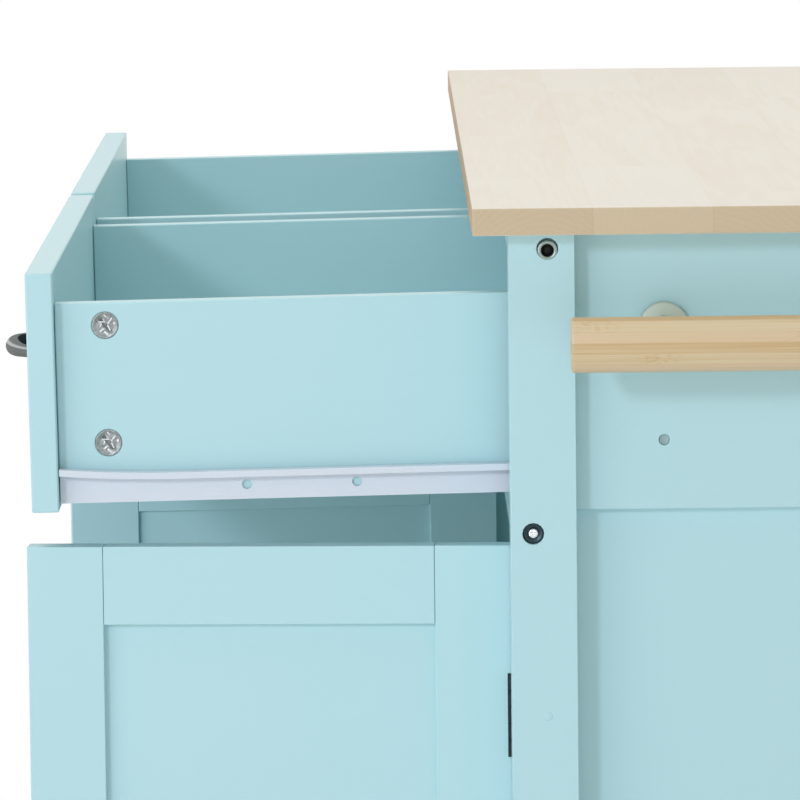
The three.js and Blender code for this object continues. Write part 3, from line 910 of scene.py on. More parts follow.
def metres(rings: Rings) -> Profile:
    """Args: rings: a profile in millimetres. Returns: it in metres."""
    return [(radius * MM, height * MM) for radius, height in rings]


def rod(radius: float, low: float, high: float) -> Profile:
    """Args: radius: its radius. low, high: its ends. Returns: the profile of a plain rod."""
    return [(0, low), (radius, low), (radius, high), (0, high)]


def tilt(axis: Point) -> Matrix:
    """Args: axis: a direction. Returns: the turn that brings upright onto it."""
    return Vector((0, 0, 1)).rotation_difference(Vector(axis)).to_matrix().to_4x4()


def spin(degrees: float, axis: str) -> Matrix:
    """Args: degrees: how far. axis: the axis's name. Returns: the turn about it."""
    return Matrix.Rotation(math.radians(degrees), 4, axis)


def place_seed(place: Point) -> int:
    """Args: place: where a row starts. Returns: a fixed seed of its own."""
    across, along, up = (part * weight for part, weight in zip(place, SEED_WEIGHTS))
    return int(abs(across + along + up) * PER_METRE) % SEED_RANGE


def bent_edges(part: bmesh.types.BMesh, least: float) -> list[bmesh.types.BMEdge]:
    """Finds the edges where the surface turns.

    Args:
        part: the mesh.
        least: the least turn, in degrees.
    Returns:
        The edges.
    """
    limit = math.radians(least)
    return [edge for edge in part.edges if edge.is_manifold and edge.calc_face_angle() > limit]


def ease(part: bmesh.types.BMesh, rounding: float, segments: int = 2) -> None:
    """Rounds a part's edges over, and shades only curved faces smooth.

    Args:
        part: the part.
        rounding: the width that is rounded, in metres.
        segments: how many faces make each round.
    """
    curved = set()
    for edge in part.edges:
        if edge.is_manifold and CURVED[0] < edge.calc_face_angle() < CURVED[1]:
            curved.update(edge.link_faces)
    for face in part.faces:
        face.smooth = face in curved
    if rounding <= 0:
        return
    rounded = bmesh.ops.bevel(
        part, geom=bent_edges(part, EDGE_DEGREES), offset=rounding, segments=segments,
        profile=0.5, affect="EDGES", clamp_overlap=True,
    )
    for face in rounded["faces"]:
        face.smooth = True


def slab(low: Point, high: Point, rounding: float, segments: int = 2) -> bmesh.types.BMesh:
    """Makes a board with rounded edges.

    Args:
        low, high: two opposite corners, in any order.
        rounding: how far its edges are rounded over.
        segments: how many faces make each round.
    Returns:
        The board.
    """
    part = bmesh.new()
    near, far = Vector(low), Vector(high)
    size = Matrix.Diagonal((*(abs(length) for length in far - near), 1))
    bmesh.ops.create_cube(part, size=1.0, matrix=Matrix.Translation((near + far) / 2) @ size)
    ease(part, rounding, segments)
    return part


def node_copy(node: str, rounding: float) -> bmesh.types.BMesh:
    """Copies a node's mesh, joins its loose and flat faces, and rounds its edges over.

    Args:
        node: the node.
        rounding: how far its edges are rounded over.
    Returns:
        The copy.
    """
    part = bmesh.new()
    part.from_mesh(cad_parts[node].data)
    bmesh.ops.remove_doubles(part, verts=part.verts, dist=WELD)
    flat = math.radians(FLAT_DEGREES)
    bmesh.ops.dissolve_limit(part, angle_limit=flat, verts=part.verts, edges=part.edges)
    ease(part, rounding)
    bmesh.ops.dissolve_degenerate(part, edges=part.edges, dist=SLIVER)
    return part


def turned(profile: Profile, at: Point, axis: Point, sides: int) -> bmesh.types.BMesh:
    """Turns a profile about an axis.

    Args:
        profile: radius and height of each ring, from pole to pole, or round a hollow.
        at: where height 0 is.
        axis: the direction of height.
        sides: how many faces go round.
    Returns:
        The closed turned part, shaded smooth except at sharp corners.
    """
    part = bmesh.new()
    rings = []
    for radius, height in profile:
        if radius <= 0:
            rings.append([part.verts.new((0, 0, height))])
            continue
        ring = []
        for side in range(sides):
            angle = 2 * math.pi * side / sides
            ring.append(part.verts.new((radius * math.cos(angle), radius * math.sin(angle), height)))
        rings.append(ring)
    steps = list(zip(rings, rings[1:]))
    if len(rings[0]) > 1:
        steps.insert(0, (rings[-1], rings[0]))
    for lower, upper in steps:
        for side in range(sides):
            after = (side + 1) % sides
            corners = [lower[side % len(lower)], lower[after % len(lower)],
                       upper[after % len(upper)], upper[side % len(upper)]]
            face = part.faces.new(list(dict.fromkeys(corners)))
            face.smooth = True
    for edge in bent_edges(part, RING_DEGREES):
        edge.smooth = False
    part.transform(Matrix.Translation(at) @ tilt(axis))
    return part


def cut_away(part: bmesh.types.BMesh, cutters: list[bmesh.types.BMesh]) -> bmesh.types.BMesh:
    """Cuts closed shapes out of a part.

    Args:
        part: the part, which is freed.
        cutters: the shapes, which are freed.
    Returns:
        The cut part.
    """
    holders = []
    for shape in (part, *cutters):
        data = bpy.data.meshes.new("cutting")
        bmesh.ops.recalc_face_normals(shape, faces=shape.faces)
        shape.to_mesh(data)
        shape.free()
        holders.append(linked("cutting", data))
    for cutter in holders[1:]:
        cut = holders[0].modifiers.new("cut", "BOOLEAN")
        cut.operation = "DIFFERENCE"
        cut.solver = "EXACT"
        cut.object = cutter
    result = evaluated_mesh(holders[0])
    for holder in holders:
        bpy.data.meshes.remove(holder.data)
    carved = bmesh.new()
    carved.from_mesh(result)
    bpy.data.meshes.remove(result)
    return carved


def cross_cut(head: bmesh.types.BMesh, arm: float, half: float, floor: float,
              top: float) -> bmesh.types.BMesh:
    """Cuts a cross slot into an upright head.

    Args:
        head: the head, which is freed.
        arm: how far the slot reaches from the middle.
        half: half of its width.
        floor, top: its lower and upper end.
    Returns:
        The cut head.
    """
    return cut_away(head, [
        slab((-arm, -half, floor), (arm, half, top), 0),
        slab((-half, -arm, floor), (half, arm, top), 0),
    ])


def evaluated_mesh(holder: bpy.types.Object) -> bpy.types.Mesh:
    """Args: holder: an object with modifiers. Returns: its mesh with them applied."""
    shown = holder.evaluated_get(bpy.context.evaluated_depsgraph_get())
    return bpy.data.meshes.new_from_object(shown)


# ---------- geometry node tools ----------


class Tool:
    """A geometry node tree with named inputs, run once to make a plain mesh."""

    title = "tool"
    sockets: tuple[tuple[str, str], ...] = ()

    def __init__(self) -> None:
        """Lays out the tree: its inputs, its nodes, and a last realised, finished mesh."""
        self.tree = bpy.data.node_groups.new(self.title, "GeometryNodeTree")
        shape = "NodeSocketGeometry"
        self.tree.interface.new_socket("Geometry", in_out="INPUT", socket_type=shape)
        self.keys = {}
        for name, kind in (*self.sockets, ("Finish", "NodeSocketMaterial")):
            made = self.tree.interface.new_socket(name, in_out="INPUT", socket_type=kind)
            self.keys[name] = made.identifier
        self.tree.interface.new_socket("Geometry", in_out="OUTPUT", socket_type=shape)
        self.graph = Graph(self.tree)
        self.source = self.graph.node("NodeGroupInput")
        made = self.lay_out()
        whole = self.graph.out("GeometryNodeRealizeInstances", None, {0: made})
        dressed = self.graph.out("GeometryNodeSetMaterial", None, {0: whole, 2: self.given("Finish")})
        self.graph.node("NodeGroupOutput", None, {0: dressed})

    def given(self, name: str) -> Signal:
        """Args: name: an input's name. Returns: what it is given."""
        return Signal(self.graph, self.source.outputs[name])

    def lay_out(self) -> Signal:
        """Returns: the geometry that the tree makes."""
        raise NotImplementedError

    def run(self, seed_shape: bmesh.types.BMesh, finish: Finish, **values: object) -> bmesh.types.BMesh:
        """Runs the tree on a shape.

        Args:
            seed_shape: the shape that goes in, which is freed.
            finish: the finish that it gets.
            values: a value for each named input.
        Returns:
            The mesh that comes out.
        """
        data = bpy.data.meshes.new("seed")
        seed_shape.to_mesh(data)
        seed_shape.free()
        holder = linked("seed", data)
        modifier = holder.modifiers.new(self.title, "NODES")
        modifier.node_group = self.tree
        modifier[self.keys["Finish"]] = finish.material()
        for name, value in values.items():
            modifier[self.keys[name]] = value
        result = evaluated_mesh(holder)
        holder.modifiers.clear()
        bpy.data.meshes.remove(data)
        part = bmesh.new()
        part.from_mesh(result)
        bpy.data.meshes.remove(result)
        return part


class BowTool(Tool):
    """Sweeps a swelling rod along half an ellipse, and sets the given foot at both of its ends."""

    title = "bow"
    sockets = (
        ("Span", "NodeSocketFloat"),
        ("Rise", "NodeSocketFloat"),
        ("Thin", "NodeSocketFloat"),
        ("Thick", "NodeSocketFloat"),
        ("Rings", "NodeSocketInt"),
        ("Sides", "NodeSocketInt"),
    )

    def lay_out(self) -> Signal:
        """Lays out the sweep and its feet.

        Returns:
            The rod with its feet.
        """
        graph = self.graph
        line = graph.out("GeometryNodeCurvePrimitiveLine", None, {0: (0, 0, 0), 1: (1, 0, 0)})
        line = graph.out("GeometryNodeResampleCurve", None, {"Curve": line, "Count": self.given("Rings")})
        turn = (graph.out("GeometryNodeSplineParameter") - 0.5) * math.pi
        half = self.given("Span") * 0.5
        place = graph.join(half * turn.sine(), 0.0 - self.given("Rise") * turn.cosine(), 0.0)
        path = graph.out("GeometryNodeSetPosition", None, {"Geometry": line, "Position": place})
        swell = turn.cosine() ** 2.0
        thin = self.given("Thin")
        radius = (thin + (self.given("Thick") - thin) * swell) * 0.5
        section = graph.out("GeometryNodeCurvePrimitiveCircle", None,
                            {"Resolution": self.given("Sides"), "Radius": 1.0})
        sweep = {"Curve": path, "Profile Curve": section, "Scale": radius, "Fill Caps": True}
        shell = graph.out("GeometryNodeCurveToMesh", None, sweep)
        bow = graph.out("GeometryNodeSetShadeSmooth", None, {0: shell})
        start = graph.join(0.0 - half, 0.0, 0.0)
        step = graph.join(self.given("Span"), 0.0, 0.0)
        ends = graph.out("GeometryNodeMeshLine", None,
                         {"Count": 2, "Start Location": start, "Offset": step})
        feet = graph.out("GeometryNodeInstanceOnPoints", None,
                         {"Points": ends, "Instance": self.given("Geometry")})
        both = graph.node("GeometryNodeJoinGeometry")
        graph.feed(both.inputs[0], bow)
        graph.feed(both.inputs[0], feet)
        return Signal(graph, both.outputs[0])


class RowTool(Tool):
    """Repeats the given fastening at even steps, each turned a little about its own axis."""

    title = "row"
    sockets = (
        ("Count", "NodeSocketInt"),
        ("Start", "NodeSocketVector"),
        ("Step", "NodeSocketVector"),
        ("Axis", "NodeSocketVector"),
        ("Turn", "NodeSocketFloat"),
        ("Seed", "NodeSocketInt"),
    )

    def lay_out(self) -> Signal:
        """Lays out the points and what stands on them.

        Returns:
            The row of fastenings.
        """
        graph = self.graph
        line = {"Count": self.given("Count"), "Start Location": self.given("Start"),
                "Offset": self.given("Step")}
        points = graph.out("GeometryNodeMeshLine", None, line)
        turn = self.given("Turn")
        limits = {RANDOM_MIN: 0.0 - turn, RANDOM_MAX: turn, RANDOM_SEED: self.given("Seed")}
        angle = graph.out("FunctionNodeRandomValue", {"data_type": "FLOAT"}, limits, RANDOM_OUT)
        turn = graph.out("FunctionNodeAxisAngleToRotation", None, {0: self.given("Axis"), 1: angle})
        return graph.out("GeometryNodeInstanceOnPoints", None, {
            "Points": points, "Instance": self.given("Geometry"), "Rotation": turn,
        })


# ---------- sub-assemblies ----------


@dataclass
class Worktop:
    """The solid wood worktop."""

    rounding: float = 0.9 * MM
    segments: int = 3

    def build(self) -> None:
        """Makes the slab in place of its node."""
        low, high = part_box("worktop")
        form = Form("worktop_slab")
        form.take(slab(low, high, self.rounding, self.segments), WORKTOP_WOOD, Run.X)
        form.settle("cabinet", None, "worktop")


@dataclass
class Carcass:
    """Posts, rails, panels, partition and shelves."""

    board_rounding: float = 0.9 * MM
    panel_rounding: float = 0.5 * MM
    pin: float = 2.65 * MM
    pin_reach: float = 9 * MM
    pin_sunk: float = 3 * MM
    pin_chamfer: float = 0.5 * MM
    pin_sides: int = 20
    pin_seed: int = 3
    pin_front: float = 45 * MM
    pin_back: float = 23.2 * MM
    lap: float = 1.1 * MM

    def boards(self) -> dict[str, tuple[Finish, Run, float]]:
        """Lists the boards.

        Returns:
            Each node with its finish, its fibres' axis and its rounding.
        """
        made = {
            "top_rail": (MINT, Run.X, self.board_rounding),
            "middle_rail": (MINT, Run.X, self.board_rounding),
            "bottom_rail": (MINT, Run.X, self.board_rounding),
            "back_panel": (MINT, Run.X, self.panel_rounding),
            "bottom_panel": (LINING_PAINTED_LIGHT, Run.X, self.panel_rounding),
            "centre_partition": (LINING_PAINTED_LIGHT, Run.Z, self.panel_rounding),
        }
        for hand in Hand:
            made[f"post_front_{hand.word}"] = (MINT, Run.Z, self.board_rounding)
            made[f"post_back_{hand.word}"] = (MINT, Run.Z, self.board_rounding)
            made[f"end_rail_{hand.word}"] = (MINT, Run.Y, self.panel_rounding)
            made[f"end_panel_{hand.word}"] = (MINT, Run.Z, self.panel_rounding)
            made[f"shelf_{hand.word}"] = (LINING_PAINTED_LIGHT, Run.X, self.panel_rounding)
        return made

    def shelf_pins(self, tool: RowTool, hand: Hand) -> None:
        """Makes the metal sleeves of the four pins that carry a shelf.

        Args:
            tool: the tool that repeats them.
            hand: which shelf.
        """
        low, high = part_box(f"shelf_{hand.word}")
        edge = self.pin_chamfer
        profile = [
            (0, -self.pin_sunk), (self.pin, -self.pin_sunk), (self.pin, self.pin_reach - edge),
            (self.pin - edge, self.pin_reach), (0, self.pin_reach),
        ]
        form = Form(f"shelf_{hand.word}_pins")
        for wall, facing in ((low[0], 1), (high[0], -1)):
            part = tool.run(
                turned(profile, (0, 0, 0), (facing, 0, 0), self.pin_sides), BOLT_BRIGHT, Count=2,
                Start=(wall, low[1] + self.pin_front, low[2] - self.pin),
                Step=(0, high[1] - low[1] - self.pin_front - self.pin_back, 0),
                Axis=(1, 0, 0), Turn=0.0, Seed=self.pin_seed,
            )
            form.take(part, BOLT_BRIGHT, Run.X)
        form.settle("cabinet")

    def build(self, tool: RowTool) -> None:
        """Makes every board in place of its node, and the shelves' pins.

        Args:
            tool: the tool that repeats pins.
        """
        for node, (finish, run, rounding) in self.boards().items():
            board = node_copy(node, rounding)
            if node.startswith("end_rail"):
                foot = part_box(node)[0][2] + self.lap
                for vertex in board.verts:
                    if vertex.co.z < foot:
                        vertex.co.z -= self.lap
            form = Form(f"{node}_board")
            form.take(board, finish, run)
            form.settle("cabinet", None, node)
        for hand in Hand:
            self.shelf_pins(tool, hand)


@dataclass
class TowelBar:
    """The round bar and the two brackets that carry it."""

    chamfer: float = 1.2 * MM
    chamfer_steps: int = 5
    sides: int = 64
    flange: float = 13.5 * MM
    flange_thickness: float = 5 * MM
    flange_edge: float = 1.2 * MM
    edge_share: float = 0.3
    neck: float = 6.5 * MM
    waist_steps: int = 8
    waist_power: int = 3
    cup: float = 9 * MM
    cup_length: float = 12 * MM
    cup_short: float = 1 * MM
    play: float = 0.3 * MM
    bracket_sides: int = 48

    def bar(self) -> tuple[Vector, float]:
        """Makes the bar in place of its node.

        Returns:
            The middle of its front end, and its radius.
        """
        low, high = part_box("towel_bar")
        radius = (high[2] - low[2]) / 2
        length = high[1] - low[1]
        edge = self.chamfer
        profile = [(0, 0), (radius - edge, 0)]
        for step in range(1, self.chamfer_steps + 1):
            turn = step / self.chamfer_steps * math.pi / 2
            profile.append((radius - edge + edge * math.sin(turn), edge - edge * math.cos(turn)))
        profile += [(reach, length - height) for reach, height in reversed(profile)]
        centre = ((low[0] + high[0]) / 2, low[1], (low[2] + high[2]) / 2)
        form = Form("towel_bar_rod")
        form.take(turned(profile, centre, (0, 1, 0), self.sides), BAR_WOOD, Run.Y)
        form.settle("cabinet", None, "towel_bar")
        return Vector(centre), radius

    def bracket(self, node: str, centre: Vector, radius: float) -> None:
        """Makes a bracket: a domed flange, a waisted neck and a cup under the bar.

        Args:
            node: the bracket's node.
            centre: the middle of the bar's front end.
            radius: the bar's radius.
        """
        low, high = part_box(node)
        across = (low[1] + high[1]) / 2
        foot = Vector((low[0], across, high[2] - self.flange))
        seat = Vector((centre.x, across, centre.z))
        along = (seat - foot).normalized()
        reach = (seat - foot).length
        edge, share = self.flange_edge, self.edge_share
        flange = [
            (0, 0), (self.flange, 0), (self.flange, self.flange_thickness - edge),
            (self.flange - share * edge, self.flange_thickness - share * edge),
            (self.flange - edge, self.flange_thickness), (0, self.flange_thickness),
        ]
        start = self.flange_thickness / 2
        cup_start = reach - radius - self.cup_length / 2
        stem = [(0, start), (self.neck, start)]
        for step in range(1, self.waist_steps + 1):
            share = step / self.waist_steps
            waist = self.neck + (self.cup - self.neck) * share ** self.waist_power
            stem.append((waist, start + (cup_start - start) * share))
        stem += [(self.cup, reach - self.cup_short), (0, reach - self.cup_short)]
        deep = self.flange * 2
        groove = turned(rod(radius + self.play, -deep, deep), tuple(seat), (0, 1, 0), self.sides)
        neck = turned(stem, tuple(foot), tuple(along), self.bracket_sides)
        form = Form(f"{node}_casting")
        form.take(turned(flange, tuple(foot), (1, 0, 0), self.bracket_sides), BRACKET_METAL, Run.X)
        form.take(cut_away(neck, [groove]), BRACKET_METAL, Run.X)
        form.settle("cabinet", None, node)

    def build(self) -> None:
        """Makes the bar, then both brackets."""
        centre, radius = self.bar()
        self.bracket("bar_bracket_front", centre, radius)
        self.bracket("bar_bracket_back", centre, radius)


@dataclass
class BowHandle:
    """A bow handle whose rod swells in the middle and stands on two round feet."""

    span: float = 96 * MM
    rise: float = 21.8 * MM
    thin: float = 6.4 * MM
    thick: float = 10.4 * MM
    foot: float = 6 * MM
    foot_height: float = 2.5 * MM
    foot_edge: float = 0.8 * MM
    edge_steps: int = 4
    foot_sides: int = 32
    rings: int = 49
    sides: int = 24
    gap: float = 0.3 * MM

    def make(self, tool: BowTool, node: str, body: str, stand: Matrix) -> None:
        """Makes the handle in place of its node.

        Args:
            tool: the tool that sweeps the rod.
            node: the handle's node.
            body: the body that it moves with.
            stand: where the middle of its back stands.
        """
        edge = self.foot_edge
        profile = [(0, 0), (self.foot, 0), (self.foot, self.foot_height - edge)]
        for step in range(1, self.edge_steps + 1):
            turn = step / self.edge_steps * math.pi / 2
            profile.append((self.foot - edge + edge * math.cos(turn),
                            self.foot_height - edge + edge * math.sin(turn)))
        profile.append((0, self.foot_height))
        foot = turned(profile, (0, 0, 0), (0, -1, 0), self.foot_sides)
        whole = tool.run(
            foot, HANDLE_METAL, Span=self.span, Rise=self.rise, Thin=self.thin, Thick=self.thick,
            Rings=self.rings, Sides=self.sides,
        )
        form = Form(f"{node}_bow")
        form.take(whole, HANDLE_METAL, Run.X)
        form.settle(body, stand, node)


@dataclass
class Hinge:
    """A butt hinge: two leaves with five knuckles and four screws."""

    length: float = 46.4 * MM
    barrel: float = 2.8 * MM
    leaf_thickness: float = 0.8 * MM
    leaf_start: float = 2.9 * MM
    leaf_depth: float = 13 * MM
    leaf_rounding: float = 0.15 * MM
    tab_start: float = 0.4 * MM
    tab_end: float = 3.4 * MM
    tab_rounding: float = 0.1 * MM
    half_gap: float = 1.0 * MM
    knuckles: int = 5
    moving: tuple[int, ...] = (1, 3)
    fixed: tuple[int, ...] = (0, 2, 4)
    knuckle_edge: float = 0.35 * MM
    sides: int = 24
    play: float = 0.3 * MM
    screw_across: float = 0.62
    screw_drop: float = 0.27
    screw_head: float = 2.5 * MM
    slot_width: float = 0.7 * MM
    slot_depth: float = 0.45 * MM

    @property
    def step(self) -> float:
        """Returns: a knuckle's share of the length."""
        return self.length / self.knuckles

    @property
    def inner(self) -> float:
        """Returns: how far the leaf's inner face lies from the middle of the gap."""
        return self.half_gap - self.leaf_thickness

    def knuckle(self, turn: int) -> bmesh.types.BMesh:
        """Makes one knuckle.

        Args:
            turn: its place along the barrel.
        Returns:
            The knuckle.
        """
        low = -self.length / 2 + turn * self.step + self.play / 2
        high = low + self.step - self.play
        edge = self.knuckle_edge
        profile = [
            (0, low), (self.barrel - edge, low), (self.barrel, low + edge),
            (self.barrel, high - edge), (self.barrel - edge, high), (0, high),
        ]
        return turned(profile, (0, 0, 0), (0, 0, 1), self.sides)

    def half(self, form: Form, screws: "Screws", side: int, turns: tuple[int, ...], height: float) -> None:
        """Adds one half of the hinge with its two countersunk screws.

        Args:
            form: the piece that it belongs to.
            screws: what makes rows of screws.
            side: which side of the pin the leaf lies on.
            turns: the knuckles that are its own.
            height: its middle's height.
        """
        inner, outer = side * self.inner, side * self.half_gap
        parts = [slab((inner, self.leaf_start, -self.length / 2), (outer, self.leaf_depth, self.length / 2),
                      self.leaf_rounding, 1)]
        for turn in turns:
            low = -self.length / 2 + turn * self.step + self.play
            high = low + self.step - 2 * self.play
            tab = slab((inner, self.tab_start, low), (outer, self.tab_end, high), self.tab_rounding, 1)
            parts += [self.knuckle(turn), tab]
        for part in parts:
            part.transform(Matrix.Translation((0, 0, height)))
            form.take(part, HINGE_METAL, Run.Z)
        small = replace(screws, head=self.screw_head, slot_width=self.slot_width, slot_depth=self.slot_depth)
        start = (inner, self.leaf_depth * self.screw_across, height - self.length * self.screw_drop)
        step = (0, 0, self.length * self.screw_drop * 2)
        small.row(form, 2, start, step, (-side, 0, 0), HINGE_METAL, countersunk=True)


@dataclass
class Door:
    """A framed door with its half of both hinges and its handle."""

    hand: Hand
    place: str
    pin_x: float
    reach: int
    open_degrees: float
    width: float = 269 * MM
    height: float = 606 * MM
    thickness: float = 15 * MM
    frame_width: float = 42.2 * MM
    rail_width: float = 43.8 * MM
    panel_recess: float = 6 * MM
    back_recess: float = 4 * MM
    tongue: float = 6 * MM
    seam: float = 0.2 * MM
    rounding: float = 0.45 * MM
    face: float = -0.3 * MM
    pin_y: float = -77.421 * MM
    bottom: float = 102 * MM
    handle_drop: float = 205 * MM
    hinge_heights: Span = (95 * MM, 511 * MM)

    @property
    def body(self) -> str:
        """Returns: the body that it moves with."""
        return f"door_{self.hand.word}_{self.place}"

    def stand(self) -> Matrix:
        """Returns: where the door stands as the object is drawn."""
        turn = spin(-self.reach * self.open_degrees, "Z")
        return Matrix.Translation((self.pin_x, self.pin_y, self.bottom)) @ turn

    def leaf(self, hinge: Hinge) -> None:
        """Makes the frame and panel in place of the leaf's node.

        Args:
            hinge: the hinge that it is notched for.
        """
        near, far = hinge.half_gap, hinge.half_gap + self.width
        back = self.face + self.thickness
        inner, outer = near + self.frame_width, far - self.frame_width
        low, high = self.rail_width, self.height - self.rail_width
        start, end = inner + self.seam, outer - self.seam
        stile = (near, inner, 0, self.height, Run.Z)
        panel = (inner - self.tongue, outer + self.tongue, low - self.tongue, high + self.tongue, Run.Z)
        boards = [
            stile,
            (outer, far, 0, self.height, Run.Z),
            (start, end, high, self.height, Run.X),
            (start, end, 0, low, Run.X),
            panel,
        ]
        form = Form(f"{self.body}_frame")
        for board in boards:
            left, right, bottom, top, run = board
            sunk = board is panel
            part = slab(
                (self.reach * left, self.face + sunk * self.panel_recess, bottom),
                (self.reach * right, back - sunk * self.back_recess, top),
                self.rounding,
            )
            if board is stile:
                reach = hinge.length / 2 + hinge.play
                notch = rod(hinge.barrel + 2 * hinge.play, -reach, reach)
                part = cut_away(part, [
                    turned(notch, (0, 0, level), (0, 0, 1), hinge.sides) for level in self.hinge_heights
                ])
            form.take(part, MINT, run)
        form.settle(self.body, self.stand(), f"{self.body}_leaf")

    def build(self, bow: BowTool, handle: BowHandle, hinge: Hinge, screws: "Screws") -> None:
        """Makes the door, both halves of its hinges and its handle.

        Args:
            bow: the tool that sweeps handles.
            handle: the handle.
            hinge: the hinge.
            screws: what makes rows of screws.
        """
        self.leaf(hinge)
        moving = Form(f"{self.body}_hinge_leaves")
        for height in self.hinge_heights:
            hinge.half(moving, screws, self.reach, hinge.moving, height)
        moving.settle(self.body, self.stand())
        for word, height in zip(("bottom", "top"), self.hinge_heights):
            fixed = Form(f"{self.body}_hinge_{word}_half")
            hinge.half(fixed, screws, -self.reach, hinge.fixed, 0.0)
            level = Matrix.Translation((self.pin_x, self.pin_y, self.bottom + height))
            fixed.settle("cabinet", level, f"{self.body}_hinge_{word}")
        stile = self.reach * (hinge.half_gap + self.width - self.frame_width / 2)
        middle = Matrix.Translation((stile, self.face - handle.gap, self.height - self.handle_drop))
        upright = self.stand() @ middle @ spin(QUARTER, "Y")
        handle.make(bow, f"{self.body}_handle", self.body, upright)
        back = self.face + self.thickness
        low = self.height - self.handle_drop - handle.span / 2
        form = Form(f"{self.body}_handle_screws")
        screws.row(form, 2, (stile, back, low), (0, 0, handle.span), (0, 1, 0), BOLT_BRIGHT)
        form.settle(self.body, self.stand())


@dataclass
class Screws:
    """Cross-headed screws, set out in rows."""

    tool: RowTool
    head: float = 3.6 * MM
    dome: float = 1.6 * MM
    flush_dome: float = 0.15 * MM
    dome_steps: int = 5
    sunk: float = 0.6 * MM
    sides: int = 24
    slot_share: float = 0.62
    slot_width: float = 0.9 * MM
    slot_depth: float = 1.1 * MM
    turn: float = 0.7

    def one(self, axis: Point, countersunk: bool) -> bmesh.types.BMesh:
        """Makes a screw head on the origin.

        Args:
            axis: the way that it faces.
            countersunk: whether it lies flush.
        Returns:
            The head.
        """
        rise = self.flush_dome if countersunk else self.dome
        profile = [(0, -self.sunk), (self.head, -self.sunk), (self.head, 0)]
        for step in range(1, self.dome_steps):
            turn = step / self.dome_steps * math.pi / 2
            profile.append((self.head * math.cos(turn), rise * math.sin(turn)))
        profile.append((0, rise))
        arm, half = self.head * self.slot_share, self.slot_width / 2
        head = cross_cut(turned(profile, (0, 0, 0), (0, 0, 1), self.sides), arm, half,
                         rise - self.slot_depth, rise + MM)
        head.transform(tilt(axis))
        return head

    def row(self, form: Form, count: int, start: Point, step: Point, axis: Point, finish: Finish,
            countersunk: bool = False) -> None:
        """Adds a row of heads to a piece.

        Args:
            form: the piece.
            count: how many.
            start: where the first sits.
            step: from each to the next.
            axis: the way that they face.
            finish: their finish.
            countersunk: whether they lie flush.
        """
        part = self.tool.run(
            self.one(axis, countersunk), finish, Count=count, Start=start, Step=step, Axis=axis,
            Turn=self.turn, Seed=place_seed(start),
        )
        form.take(part, finish, Run.X)


